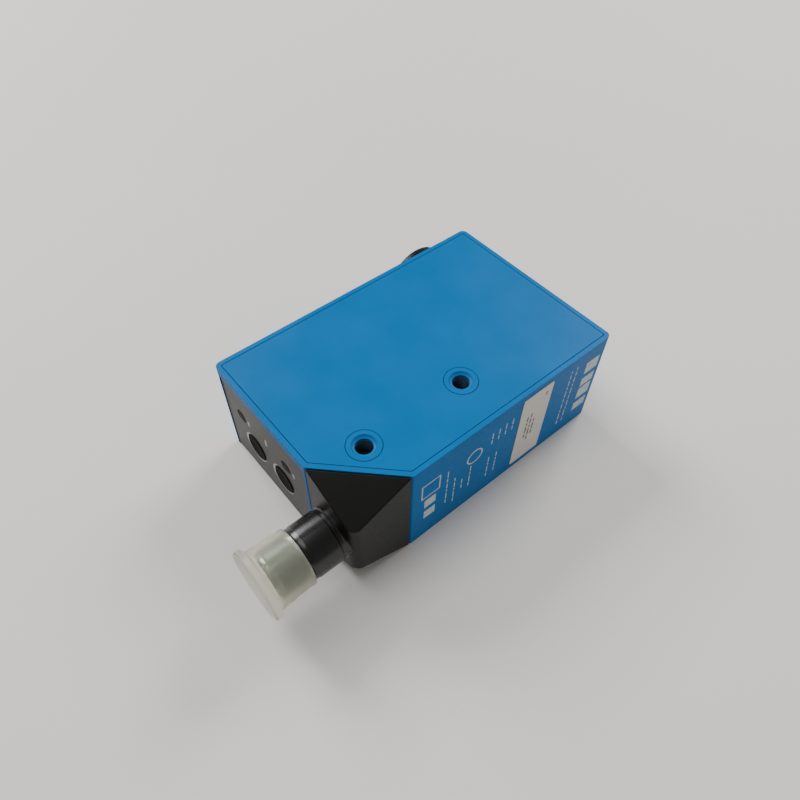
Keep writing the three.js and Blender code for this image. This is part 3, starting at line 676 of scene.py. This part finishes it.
class SENSOR_OT_housing(bpy.types.Operator):
    """Model the die-cast housing with its cavity, ports, seats and threaded fixing holes"""

    bl_idname = "sensor.housing"
    bl_label = "Housing"

    def execute(self, context):
        sizes = context.scene.sensor_sizes
        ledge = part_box("cover_gasket")[0].z
        shell = outline_block("housing_shell", LOW.z, HIGH.z)
        edit(shell)
        pick(shell, "faces", lambda middle, normal: normal.z > 0.9)
        bpy.ops.mesh.inset(thickness=sizes.rim)
        push(Z * (ledge - HIGH.z))
        bpy.ops.mesh.inset(thickness=sizes.wall - sizes.rim)
        push(Z * (LOW.z + sizes.wall - ledge))
        leave()
        bevel_edges(shell, lambda middle, way: upright(way) and edge_inset(middle) < HAIR
                    and beyond_cut(middle) < -HAIR, sizes.corner)
        bevel_edges(shell, lambda middle, way: upright(way) and abs(beyond_cut(middle)) < HAIR,
                    sizes.cut_corner * math.tan(math.pi / 8), 5)
        bevel_edges(shell, lambda middle, way: upright(way) and edge_inset(middle) > sizes.rim - HAIR,
                    0.3 * MM, 4)
        self.add_bosses(shell, sizes, ledge)
        self.cut_openings(shell, sizes)
        self.cut_threads(shell, sizes)
        soften(shell, lambda middle, way: self.from_holes(middle) > sizes.thread + 0.5 * MM
               and min(middle.z - LOW.z, HIGH.z - middle.z) > -HAIR, sizes.softness)
        smooth(shell)
        settle(shell, "housing", "blue_lacquer", blue_lacquer(), "housing_body")
        # Below the lacquered first turns, the hole walls take the dark zinc: painted shade deep in the holes.
        skin = 1.7 * MM
        paint(shell, hole_zinc_with_painted_shade(), lambda middle: LOW.z + skin < middle.z < HIGH.z - skin
              and self.from_holes(middle) < sizes.thread + HAIR)
        return {"FINISHED"}

    def from_holes(self, point):
        """How far a point stands from the nearest fixing hole's axis."""
        return min((point - foot).xy.length for foot in boss_axes())

    def add_bosses(self, shell, sizes, ledge):
        """Join on the fixing bosses, the port bosses and the posts for the screws."""
        near, far = boss_axes()
        short = HIGH.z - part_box("swivel_retaining_ring")[1].z - 0.4 * MM
        floor = sizes.wall / 2
        spans = ((near, floor, short), (near, HIGH.z - short, HIGH.z), (far, floor, HIGH.z))
        for axis, start, end in spans:
            combine(shell, rod("boss", sizes.boss, axis, Z, start, end), "UNION")
        reach = sizes.boss + 1 * MM
        for start, end in ((floor, short), (HIGH.z - short, ledge)):
            foot = near + OUTWARD * reach / 2
            spread = Vector((reach / 2, reach / 2, 0))
            web = block("web", foot - spread + Z * start, foot + spread + Z * end, math.pi / 4)
            combine(shell, web, "UNION")
        for node, axis, face in (("lens_barrel", Y, HIGH.y), ("blind_plug", X, HIGH.x)):
            centre = centre_of(node)
            centre += axis * (face - centre.dot(axis))
            port = rod("port", sizes.port + 2.1 * MM, centre, axis, -sizes.wall - 0.8 * MM, -sizes.wall / 2)
            combine(shell, port, "UNION")
        posts = [(f"board_screw_{i}", "main_board") for i in (1, 2, 3)]
        posts += [(f"holder_screw_{i}", "optics_holder") for i in (1, 2)]
        for screw, seat in posts:
            foot = centre_of(screw)
            foot.z = 0
            post = rod("post", 2.8 * MM, foot, Z, floor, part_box(seat)[0].z, 32)
            combine(shell, post, "UNION")
            combine(shell, rod("hole", 1.25 * MM, foot, Z, 1 * MM, MIDDLE, 24))

    def cut_openings(self, shell, sizes):
        """Cut the panel's recess and window, the two ports and the swivel's hole."""
        low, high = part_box("control_panel")
        for grow, depth in ((sizes.seam, sizes.panel_recess), (-1.4 * MM, sizes.wall + 1 * MM)):
            margin = Vector((0, grow, grow))
            start = Vector((LOW.x - 1 * MM, low.y, low.z)) - margin
            end = Vector((LOW.x + depth, high.y, high.z)) + margin
            cutter = block("recess", start, end)
            bevel_edges(cutter, lambda middle, way: abs(way.x) > 0.99 and middle.z > MIDDLE,
                        max(1.2 * MM + grow, 0.4 * MM), 6)
            combine(shell, cutter)
        lens, plug = centre_of("lens_barrel"), centre_of("blind_plug")
        deep = sizes.wall + 2 * MM
        combine(shell, rod("bore", sizes.port, Vector((lens.x, HIGH.y, lens.z)), Y, -deep, 1 * MM))
        plug_face = Vector((HIGH.x, plug.y, plug.z))
        combine(shell, rod("bore", sizes.port, plug_face, X, -deep, 1 * MM))
        low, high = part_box("blind_plug")
        head = (high.z - low.z) / 2 + 0.1 * MM
        combine(shell, rod("seat", head, plug_face, X, -1.35 * MM, 1 * MM))
        hole = sizes.journal + sizes.swivel_gap
        combine(shell, rod("hole", hole, CUT_MIDDLE, OUTWARD, -sizes.wall - 1.2 * MM, 1 * MM))

    def cut_threads(self, shell, sizes):
        """Tap the fixing holes from both ends of the bosses."""
        mouth = 0.5 * MM
        pitch = 0.8 * MM
        for foot in boss_axes():
            for level, way in ((LOW.z, Z), (HIGH.z, -Z)):
                rings = thread_rings(sizes.thread_core, sizes.thread, pitch, mouth, sizes.thread_depth)
                profile = [(sizes.thread + 0.7 * MM, -0.3 * MM), (sizes.thread + 0.4 * MM, 0.0),
                           (sizes.thread, 0.4 * MM), *rings, (sizes.thread_core, sizes.thread_depth)]
                centre = Vector((foot.x, foot.y, level))
                combine(shell, turned("tap", profile, centre, way, 64))


class SENSOR_OT_cover(bpy.types.Operator):
    """Model the cover plate that is pressed over the boss ends and bonded into the rim"""

    bl_idname = "sensor.cover"
    bl_label = "Cover"

    def execute(self, context):
        sizes = context.scene.sensor_sizes
        low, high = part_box("side_cover")
        plate = outline_block("cover_plate", low.z, high.z, sizes.rim + sizes.seam)
        bevel_edges(plate, lambda middle, way: upright(way), 0.3 * MM, 4)
        for foot in boss_axes():
            hole = rod("hole", sizes.boss + 0.14 * MM, foot, Z, low.z - 1 * MM, high.z + 1 * MM)
            combine(plate, hole)
        round_edges(plate, 0.15 * MM, 2)
        smooth(plate)
        settle(plate, "housing", "blue_lacquer", blue_lacquer(), "side_cover")
        return {"FINISHED"}


class SENSOR_OT_panel(bpy.types.Operator):
    """Model the grey control panel with its holes, posts, printed marks and painted highlights beside the buttons
    """

    bl_idname = "sensor.panel"
    bl_label = "Control panel"

    def execute(self, context):
        sizes = context.scene.sensor_sizes
        low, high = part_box("control_panel")
        face = low.x
        plate = block("panel_plate", low, Vector((face + sizes.panel, high.y, high.z)))
        upper = (low.z + high.z) / 2
        bevel_edges(plate, lambda middle, way: abs(way.x) > 0.99 and middle.z > upper, 1.2 * MM, 6)
        prints = []
        for side in SIDES:
            for node, radius in (("button", sizes.button), ("indicator_window", sizes.window)):
                spot = centre_of(f"{side}_{node}")
                spot.x = face
                combine(plate, rod("hole", radius + 0.1 * MM, spot, X, -1 * MM, 2 * MM))
            # The pale arc beside each button is a painted highlight; the ticks and the middle mark are print.
            prints.append(self.rim_highlight(f"{side}_button", face, sizes))
            prints.append(self.tick(f"{side}_indicator_window", face, sizes))
        between = (centre_of("right_button").y + centre_of("left_button").y) / 2
        window_level = centre_of("right_indicator_window").z
        low_post = LOW.z + sizes.wall + 1.9 * MM
        for level in (window_level, low_post):
            spot = Vector((face, between, level))
            post = rod("post", 1.6 * MM, spot, X, sizes.panel / 2, high.x - face, 32)
            combine(plate, post, "UNION")
        round_edges(plate, 0.12 * MM, 2)
        smooth(plate)
        settle(plate, "housing", "grey_panel", grey_film(), "control_panel")
        spot = Vector((face, between, window_level + 0.6 * MM))
        reach = Vector((HAIR, 0.35 * MM, 1.1 * MM))
        prints.append(brick("mark", spot, reach))
        # The panel's pale marks are print, apart from the painted highlights beside the buttons.
        marks = join("panel_print", prints)
        smooth(marks, weighted=False)
        settle(marks, "housing", "white_plastic", pale_ink_and_highlight())
        return {"FINISHED"}

    def rim_highlight(self, node, face, sizes):
        """A pale arc below and beside a button: a painted highlight on the rim around the button."""
        spot = centre_of(node)
        spot.x = face
        outer = rod("mark", sizes.button + 0.6 * MM, spot + (Y - Z) * 0.55 * MM, X, -HAIR, HAIR)
        inner = rod("hole", sizes.button + 0.3 * MM, spot, X, -1 * MM, 1 * MM)
        combine(outer, inner)
        return outer

    def tick(self, node, face, sizes):
        """A short pale line printed beside an indicator."""
        spot = centre_of(node)
        spot.x = face
        spot.y -= sizes.window + 1.3 * MM
        reach = Vector((HAIR, 0.3 * MM, 0.9 * MM))
        return brick("mark", spot, reach)


class SENSOR_OT_buttons(bpy.types.Operator):
    """Model the two dished push buttons with their flanges and plungers"""

    bl_idname = "sensor.buttons"
    bl_label = "Push buttons"

    def execute(self, context):
        sizes = context.scene.sensor_sizes
        for side in SIDES:
            node = f"{side}_button"
            low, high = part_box(node)
            centre = Vector((low.x, (low.y + high.y) / 2, (low.z + high.z) / 2))
            radius = sizes.button
            dish = 0.28 * MM
            lip = 0.86 * radius
            rings = 8
            bowl = [(lip * (1 - step / rings), dish * math.sin(math.pi / 2 * step / rings))
                    for step in range(rings)]
            flange = 1.35 * MM
            profile = [(0.05 * MM, dish), *reversed(bowl), (0.93 * radius, 0.0), (radius, 0.14 * MM),
                       (radius, flange), (radius + 0.5 * MM, flange), (radius + 0.5 * MM, flange + 0.7 * MM),
                       (1.4 * MM, flange + 0.7 * MM), (1.4 * MM, high.x - low.x)]
            cap = turned(f"{node}_cap", profile, centre, X)
            smooth(cap)
            settle(cap, node, "black_polyamide", blasted_polyamide(), node)
        return {"FINISHED"}


class SENSOR_OT_windows(bpy.types.Operator):
    """Model the two domed indicator windows with the light pipes behind them"""

    bl_idname = "sensor.windows"
    bl_label = "Indicator windows"

    def execute(self, context):
        sizes = context.scene.sensor_sizes
        for side in SIDES:
            node = f"{side}_indicator_window"
            low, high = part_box(node)
            centre = Vector((low.x, (low.y + high.y) / 2, (low.z + high.z) / 2))
            radius = sizes.window
            collar = 1.15 * MM
            profile = [(0.05 * MM, 0.0), (0.5 * radius, 0.04 * MM), (0.8 * radius, 0.12 * MM),
                       (0.94 * radius, 0.2 * MM), (radius, 0.32 * MM), (radius, collar),
                       (radius + 0.6 * MM, collar), (radius + 0.6 * MM, collar + 0.6 * MM),
                       (radius, collar + 0.6 * MM), (radius, high.x - low.x)]
            pipe = turned(f"{side}_light_pipe", profile, centre, X, 64)
            smooth(pipe)
            settle(pipe, "housing", "window_plastic", window_plastic(), node)
        return {"FINISHED"}


class SENSOR_OT_label(bpy.types.Operator):
    """Model the rating label with rows of plain bars for print"""

    bl_idname = "sensor.label"
    bl_label = "Rating label"

    def execute(self, context):
        low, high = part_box("rating_label")
        film = block("label_film", low, high)
        bevel_edges(film, lambda middle, way: abs(way.y) > 0.99, 0.5 * MM, 4)
        round_edges(film, 0.03 * MM, 1)
        smooth(film)
        settle(film, "housing", "label_film", label_film(), "rating_label")
        bars = []
        face = low.y
        stroke = 0.55 * MM
        lines = ((0.30, 0.36, 0.70), (0.42, 0.30, 0.74), (0.54, 0.36, 0.62), (0.80, 0.86, 0.94))
        for column, start, end in lines:
            x = low.x + column * (high.x - low.x)
            bottom, top = (low.z + share * (high.z - low.z) for share in (start, end))
            bars += dashes(x, bottom, top, face, stroke)
        prints = join("label_print", bars)
        settle(prints, "housing", "label_film", dark_ink())
        return {"FINISHED"}


def bar(x, start, end, face, width):
    """A printed bar that runs up the label side."""
    reach = Vector((width / 2, HAIR / 2, 0))
    return block("bar", Vector((x, face, start)) - reach, Vector((x, face, end)) + reach)


def dashes(x, start, end, face, width):
    """A row of bars of uneven length that stands for a line of print."""
    shares = (3, 5, 2, 4)
    gap = 0.55 * MM
    bars = []
    level = start
    turn = 0
    while level < end - gap:
        reach = min(shares[turn % len(shares)] * 0.5 * MM, end - level)
        bars.append(bar(x, level, level + reach, face, width))
        level += reach + gap
        turn += 1
    return bars


class SENSOR_OT_side_print(bpy.types.Operator):
    """Model the pale marks printed on the label side, as plain shapes"""

    bl_idname = "sensor.side_print"
    bl_label = "Side print"

    def execute(self, context):
        face = LOW.y
        start = LOW.x + CUT
        first = start + 5.4 * MM
        marks = [self.frame_mark(first, 20.2 * MM, 5.6 * MM, face)]
        for level in (12.9 * MM, 8.0 * MM):
            marks.append(bar(first, level, level + 3.2 * MM, face, 3.4 * MM))
        line = 0.3 * MM
        for step, low, high in ((0, 8.0, 22.5), (1, 6.0, 16.5), (2, 9.5, 13.5), (3, 8.0, 17.5)):
            marks += dashes(start + (10.5 + 2.5 * step) * MM, low * MM, high * MM, face, line)
        marks.append(self.ring_mark(start + 18.8 * MM, 20.0 * MM, 2.5 * MM, face))
        for step in range(4):
            marks += dashes(start + (24.2 + 2.2 * step) * MM, 20.0 * MM, 24.2 * MM, face, line)
        for step in range(2):
            marks += dashes(start + (24.2 + 2.6 * step) * MM, 6.0 * MM, 14.4 * MM, face, line)
        for step in range(2):
            marks += dashes(start + (50.6 + 2.0 * step) * MM, 5.0 * MM, 26.5 * MM, face, line)
        for step, level in enumerate((6.0, 11.0, 16.0, 21.0)):
            reach = (1.6 + 0.5 * (step % 2)) * MM
            spot = Vector((start + 58.8 * MM, face, level * MM + reach))
            half = Vector((2.4 * MM, HAIR / 2, reach))
            marks.append(brick("mark", spot, half))
        prints = join("side_print", marks)
        settle(prints, "housing", "white_plastic", pale_ink_and_highlight())
        return {"FINISHED"}

    def frame_mark(self, x, z, size, face):
        """A square outline."""
        half = Vector((size / 2, HAIR / 2, size / 2))
        spot = Vector((x, face, z))
        outside = brick("mark", spot, half)
        line = Vector((0.35 * MM, -1 * MM, 0.35 * MM))
        combine(outside, block("hole", spot - half + line, spot + half - line))
        return outside

    def ring_mark(self, x, z, radius, face):
        """A round outline."""
        thin = HAIR / 2
        line = 0.4 * MM
        return hoop("mark", radius - line, radius, Vector((x, face, z)), Y, -thin, thin, 48)


class SENSOR_OT_lens_port(bpy.types.Operator):
    """Model the knurled lens barrel, the front lens and its notched retaining ring"""

    bl_idname = "sensor.lens_port"
    bl_label = "Lens port"

    def execute(self, context):
        sizes = context.scene.sensor_sizes
        low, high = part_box("lens_barrel")
        centre = centre_of("lens_barrel")
        centre.y = HIGH.y
        outer = (high.x - low.x) / 2
        front = high.y - HIGH.y
        spigot = low.y - HIGH.y
        lens_low, lens_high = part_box("front_lens")
        lens_radius = (lens_high.x - lens_low.x) / 2
        seat = lens_low.y - HIGH.y
        bore = lens_radius + 0.1 * MM
        light = lens_radius - 1.5 * MM
        rings = thread_rings(sizes.port - 0.45 * MM, sizes.port - 0.1 * MM, 0.75 * MM, spigot + 0.4 * MM,
                             -0.3 * MM)
        profile = [(light, spigot), (sizes.port - 0.5 * MM, spigot), *rings, (sizes.port - 0.5 * MM, 0.0),
                   (outer - 0.5 * MM, 0.0), (outer - 0.3 * MM, 0.3 * MM), (outer - 0.3 * MM, 0.9 * MM),
                   (outer, 1.2 * MM), (outer, front - 1.5 * MM), (outer - 0.4 * MM, front - 1.1 * MM),
                   (outer - 0.4 * MM, front - 0.3 * MM), (outer - 0.7 * MM, front),
                   (bore + 0.35 * MM, front), (bore, front - 0.35 * MM), (bore, seat), (light, seat),
                   (light, spigot)]
        steps = 144
        barrel = turned("lens_barrel_body", profile, centre, Y, steps, ring=True)
        self.knurl(barrel, centre, outer, 1.2 * MM, front - 1.5 * MM, steps)
        smooth(barrel)
        settle(barrel, "housing", "black_anodised", black_anodised(), "lens_barrel")
        self.lens(centre, lens_radius, seat)
        self.retaining_ring(centre)
        return {"FINISHED"}

    def knurl(self, barrel, centre, radius, start, end, steps):
        """Sink every other face of the grip band, so that straight grooves stand around it."""
        edit(barrel)

        def in_groove(middle, normal):
            offset = middle - centre
            along = offset.dot(Y)
            around = math.atan2(offset.z, offset.x) / (2 * math.pi) * steps
            on_band = start < along < end and (offset - Y * along).length > 0.99 * radius
            return on_band and round(around - 0.5) % 2 == 0

        pick(barrel, "faces", in_groove)
        bpy.ops.mesh.inset(thickness=0.06 * MM, depth=-0.22 * MM, use_individual=True)
        leave()

    def lens(self, centre, radius, seat):
        """The front lens: a flat back, a straight rim and a domed front."""
        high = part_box("front_lens")[1]
        edge = seat + 1.4 * MM
        bulge = high.y - HIGH.y - edge
        curve = (radius ** 2 + bulge ** 2) / (2 * bulge)
        rings = 14
        dome = []
        for step in range(1, rings):
            reach = radius * (1 - step / rings)
            dome.append((reach, edge + bulge - curve + math.sqrt(curve ** 2 - reach ** 2)))
        profile = [(radius, seat), (radius, edge), *dome]
        glass = turned("front_lens_glass", profile, centre, Y)
        smooth(glass)
        settle(glass, "housing", "lens_glass", lens_glass(), "front_lens")

    def retaining_ring(self, centre):
        """A ring with two notches for a pin spanner."""
        low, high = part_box("lens_retaining_ring")
        outer = (high.x - low.x) / 2
        inner = outer - 1.0 * MM
        back, front = low.y - HIGH.y, high.y - HIGH.y
        ring = hoop("lens_ring", inner, outer, centre, Y, back, front)
        reach = Vector((outer + 1 * MM, 0.8 * MM, 0.6 * MM))
        spot = Vector((centre.x, high.y, centre.z))
        combine(ring, brick("notch", spot, reach))
        round_edges(ring, 0.12 * MM, 2)
        smooth(ring)
        settle(ring, "housing", "black_anodised", black_anodised(), "lens_retaining_ring")


class SENSOR_OT_blind_plug(bpy.types.Operator):
    """Model the slotted plug that closes the unused optical port"""

    bl_idname = "sensor.blind_plug"
    bl_label = "Blind plug"

    def execute(self, context):
        sizes = context.scene.sensor_sizes
        low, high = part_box("blind_plug")
        centre = centre_of("blind_plug")
        centre.x = high.x
        head = (high.z - low.z) / 2
        thick = 1.2 * MM
        deep = high.x - low.x
        rings = thread_rings(sizes.port - 0.1 * MM, sizes.port - 0.45 * MM, 0.75 * MM, thick + 0.4 * MM,
                             deep - 0.2 * MM)
        profile = [(head - 1.2 * MM, 0.0), (head - 0.25 * MM, 0.0), (head, 0.25 * MM), (head, thick),
                   (sizes.port - 0.1 * MM, thick), *rings, (sizes.port - 0.5 * MM, deep)]
        plug = turned("blind_plug_body", profile, centre, -X)
        reach = Vector((0.6 * MM, 0.7 * head, 0.9 * MM))
        combine(plug, brick("slot", centre, reach))
        round_edges(plug, 0.1 * MM, 2, 50)
        smooth(plug)
        settle(plug, "housing", "black_anodised", black_anodised(), "blind_plug")
        return {"FINISHED"}


class SENSOR_OT_connector_block(bpy.types.Operator):
    """Model the faceted swivel block with its journal and the collar behind the sleeve"""

    bl_idname = "sensor.connector_block"
    bl_label = "Connector block"

    def execute(self, context):
        sizes = context.scene.sensor_sizes
        gap = sizes.swivel_gap
        corner = Vector((LOW.x, LOW.y, LOW.z))
        body = block("swivel_block", corner, corner + Vector((CUT, CUT, HIGH.z - LOW.z)))
        base = CUT_MIDDLE + OUTWARD * gap
        slice_off(body, base, -OUTWARD)
        bevel_edges(body, lambda middle, way: upright(way) and (middle - corner).xy.length < HAIR,
                    sizes.block_corner, 14)
        depth = (base - Vector((LOW.x, LOW.y, MIDDLE))).length - sizes.block_corner * (math.sqrt(2) - 1)
        slope = sizes.block_drop / depth
        for way, level in ((Z, HIGH.z), (-Z, LOW.z)):
            point = Vector((base.x, base.y, level))
            slice_off(body, point, (way + OUTWARD * slope).normalized())
        round_edges(body, 0.3 * MM, 3, 20)
        self.add_collar(body, sizes)
        self.add_journal(body, sizes)
        smooth(body)
        settle(body, "swivel", "black_polyamide", black_polyamide(), "connector_block")
        paint(body, glossy_polyamide(), lambda middle: middle.x < LOW.x - HAIR)
        return {"FINISHED"}

    def add_collar(self, body, sizes):
        """The round collar, its shallow grooves, the alignment mark and the seat for the sleeve."""
        axis = -X
        centre = centre_of("threaded_sleeve")
        centre.x = LOW.x
        reach = LOW.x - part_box("connector_block")[0].x
        radius = sizes.neck
        profile = [(radius, -1 * MM), (radius, 0.5 * MM), (radius - 0.25 * MM, 0.75 * MM),
                   (radius - 0.25 * MM, 1.5 * MM), (radius, 1.8 * MM), (radius, reach - 1.3 * MM),
                   (radius - 0.15 * MM, reach - 1.05 * MM), (radius - 0.15 * MM, reach - 0.2 * MM),
                   (radius - 0.3 * MM, reach)]
        combine(body, turned("collar", profile, centre, axis), "UNION")
        spot = centre + axis * reach * 0.45 + Z * radius
        half = Vector((0.35 * MM, 0.14 * MM, 0.07 * MM))
        combine(body, brick("mark", spot, half), "UNION")
        seat = sizes.sleeve - 0.4 * MM
        combine(body, rod("seat", seat, centre, axis, -1.2 * MM, reach + 1 * MM))
        combine(body, rod("wire_bore", sizes.sleeve - 2.5 * MM, centre, axis, -5.5 * MM, 0.0, 48))

    def add_journal(self, body, sizes):
        """The hollow journal that turns in the housing, with the grooves for its seal and ring."""
        gap = sizes.swivel_gap
        length = sizes.wall + gap + 2.3 * MM
        combine(body, rod("journal", sizes.journal, CUT_MIDDLE, OUTWARD, -length, gap + 2 * MM), "UNION")
        combine(body, rod("bore", 4.2 * MM, CUT_MIDDLE, OUTWARD, -length - 1 * MM, 3.5 * MM, 64))
        seal_start, seal_end = gap - 0.2 * MM, gap + 1.3 * MM
        combine(body, hoop("groove", 7.0 * MM, 8.8 * MM, CUT_MIDDLE, OUTWARD, seal_start, seal_end))
        inner, outer = sizes.journal - 0.7 * MM, sizes.journal + 1 * MM
        start, end = -sizes.wall - gap - 1.3 * MM, -sizes.wall - gap + 0.1 * MM
        combine(body, hoop("groove", inner, outer, CUT_MIDDLE, OUTWARD, start, end))


class SENSOR_OT_sleeve(bpy.types.Operator):
    """Model the M12 threaded sleeve of the plug"""

    bl_idname = "sensor.sleeve"
    bl_label = "Threaded sleeve"

    def execute(self, context):
        sizes = context.scene.sensor_sizes
        low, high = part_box("threaded_sleeve")
        centre = centre_of("threaded_sleeve")
        centre.x = high.x
        axis = -X
        length = high.x - low.x
        bore = sizes.sleeve - 1.6 * MM
        seat = sizes.sleeve - 0.5 * MM
        shoulder = high.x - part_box("connector_block")[0].x + 0.1 * MM
        pitch = 1 * MM
        rings = thread_rings(sizes.sleeve, sizes.sleeve - 0.55 * MM, pitch, shoulder + 0.6 * MM,
                             length - 0.6 * MM)
        profile = [(bore, 0.0), (seat, 0.0), (seat, shoulder), (sizes.sleeve - 0.1 * MM, shoulder),
                   (sizes.sleeve, shoulder + 0.15 * MM), *rings,
                   (sizes.sleeve - 0.55 * MM, length - 0.35 * MM),
                   (sizes.sleeve - 0.8 * MM, length), (bore + 0.25 * MM, length), (bore, length - 0.25 * MM),
                   (bore, 0.0)]
        sleeve = turned("sleeve_thread", profile, centre, axis, ring=True)
        smooth(sleeve, 25)
        settle(sleeve, "swivel", "nickel_brass", nickel_brass(), "threaded_sleeve")
        return {"FINISHED"}


class SENSOR_OT_dust_cap(bpy.types.Operator):
    """Model the translucent push-on dust cap with its flange and rolled mouth"""

    bl_idname = "sensor.dust_cap"
    bl_label = "Dust cap"

    def execute(self, context):
        sizes = context.scene.sensor_sizes
        low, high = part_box("dust_cap")
        centre = centre_of("dust_cap")
        centre.x = high.x
        axis = -X
        length = high.x - low.x
        flange = (high.z - low.z) / 2
        inner = sizes.sleeve + 0.1 * MM
        outer = inner + sizes.cap_wall
        brim = length - 1.8 * MM
        profile = [(flange - 2.2 * MM, length), (flange - 0.35 * MM, length), (flange, length - 0.35 * MM),
                   (flange, brim + 0.3 * MM), (flange - 0.3 * MM, brim), (outer + 0.7 * MM, brim),
                   (outer + 0.4 * MM, brim - 0.35 * MM), (outer, 1.4 * MM), (outer + 0.1 * MM, 0.9 * MM),
                   (outer + 0.1 * MM, 0.3 * MM), (outer - 0.1 * MM, 0.0), (inner + 0.15 * MM, 0.0),
                   (inner, 0.25 * MM), (inner, length - 2.6 * MM), (inner - 0.3 * MM, length - 2.4 * MM)]
        cap = turned("push_on_cap", profile, centre, axis)
        smooth(cap)
        settle(cap, "dust_cap", "cap_polyethylene", cap_polyethylene(), "dust_cap")
        return {"FINISHED"}


class SENSOR_OT_inner_parts(bpy.types.Operator):
    """Give the boards, seals, screws and optics inside their own finishes"""

    bl_idname = "sensor.inner_parts"
    bl_label = "Inner parts"

    def execute(self, context):
        finishes = {
            "black_rubber": black_rubber, "circuit_board": circuit_board, "steel": zinc_steel,
            "black_polyamide": black_polyamide, "capacitor_sleeve": capacitor_sleeve,
            "white_plastic": white_nylon, "lens_glass": lens_glass, "gold_contact": gold_contact,
        }
        slots = {row["node"]: row["material_slot"] for row in frame["record"]["subparts"]}
        for name, solid in frame["nodes"].items():
            if solid.hide_render:
                continue
            solid.data.materials.clear()
            solid.data.materials.append(finishes[slots[name]]())
        return {"FINISHED"}


class SENSOR_OT_stage(bpy.types.Operator):
    """Set the pale floor, the soft studio light and the camera"""

    bl_idname = "sensor.stage"
    bl_label = "Stage"

    def execute(self, context):
        clear_selection()
        bpy.ops.mesh.primitive_plane_add(size=6.0, location=(0, 0, -HAIR))
        floor = keep("floor")
        floor.data.materials.append(pale_floor())
        world = bpy.data.worlds.new("soft room")
        world.use_nodes = True
        world.node_tree.nodes["Background"].inputs["Color"].default_value = linear("#d9d8d6")
        world.node_tree.nodes["Background"].inputs["Strength"].default_value = 0.36
        context.scene.world = world
        self.light("window light", Vector((-0.15, 1.2, 0.95)), 0.6, 21)
        self.light("second window light", Vector((1.2, 0.25, 0.95)), 0.6, 15)
        self.light("ceiling light", Vector((-0.4, 0.2, 1.3)), 0.9, 7)
        self.light("wall reflection", Vector((1.0, -1.1, 0.4)), 0.8, 5)
        self.camera(context)
        return {"FINISHED"}

    def light(self, name, place, size, power):
        """A large square lamp that looks at the sensor."""
        data = bpy.data.lights.new(name, "AREA")
        data.size = size
        data.energy = power
        lamp = bpy.data.objects.new(name, data)
        lamp.location = place
        lamp.rotation_euler = (-place).to_track_quat("-Z", "Y").to_euler()
        bpy.context.scene.collection.objects.link(lamp)

    def camera(self, context):
        """The camera looks down on the cut corner from the side of the plug."""
        azimuth, elevation, roll = (math.radians(angle) for angle in (-40.6, 51.7, 0.965))
        aim = Vector((-5.19, -0.07, 15.2)) * MM
        distance = 169.9 * MM
        level = math.cos(elevation)
        way = Vector((math.sin(azimuth) * level, -math.cos(azimuth) * level, math.sin(elevation)))
        data = bpy.data.cameras.new("camera")
        data.lens = 30.14
        camera = bpy.data.objects.new("camera", data)
        camera.location = aim + way * distance
        camera.rotation_euler = way.to_track_quat("Z", "Y").to_euler()
        context.scene.collection.objects.link(camera)
        context.view_layer.update()
        camera.rotation_euler.rotate_axis("Z", roll)
        context.scene.camera = camera


class SENSOR_PT_pieces(bpy.types.Panel):
    """Lists the sensor's pieces in the sidebar"""

    bl_label = "Photoelectric sensor"
    bl_idname = "SENSOR_PT_pieces"
    bl_space_type = "VIEW_3D"
    bl_region_type = "UI"
    bl_category = "Sensor"

    def draw(self, context):
        for group in (context.scene.sensor_sizes, context.scene.sensor_colours):
            column = self.layout.column(align=True)
            for name in group.bl_rna.properties.keys():
                if name not in ("rna_type", "name"):
                    column.prop(group, name)
        for operator in OPERATORS:
            self.layout.operator(operator.bl_idname)


OPERATORS = (
    SENSOR_OT_housing,
    SENSOR_OT_cover,
    SENSOR_OT_panel,
    SENSOR_OT_buttons,
    SENSOR_OT_windows,
    SENSOR_OT_label,
    SENSOR_OT_side_print,
    SENSOR_OT_lens_port,
    SENSOR_OT_blind_plug,
    SENSOR_OT_connector_block,
    SENSOR_OT_sleeve,
    SENSOR_OT_dust_cap,
    SENSOR_OT_inner_parts,
    SENSOR_OT_stage,
)
CLASSES = (SensorSizes, SensorColours, *OPERATORS, SENSOR_PT_pieces)


def register():
    for kind in CLASSES:
        bpy.utils.register_class(kind)
    bpy.types.Scene.sensor_sizes = bpy.props.PointerProperty(type=SensorSizes)
    bpy.types.Scene.sensor_colours = bpy.props.PointerProperty(type=SensorColours)


def unregister():
    del bpy.types.Scene.sensor_colours
    del bpy.types.Scene.sensor_sizes
    for kind in reversed(CLASSES):
        bpy.utils.unregister_class(kind)


def main():
    register()
    for operator in OPERATORS:
        name = operator.bl_idname.split(".")[1]
        getattr(bpy.ops.sensor, name)()
    clear_selection()


if __name__ == "__main__":
    main()
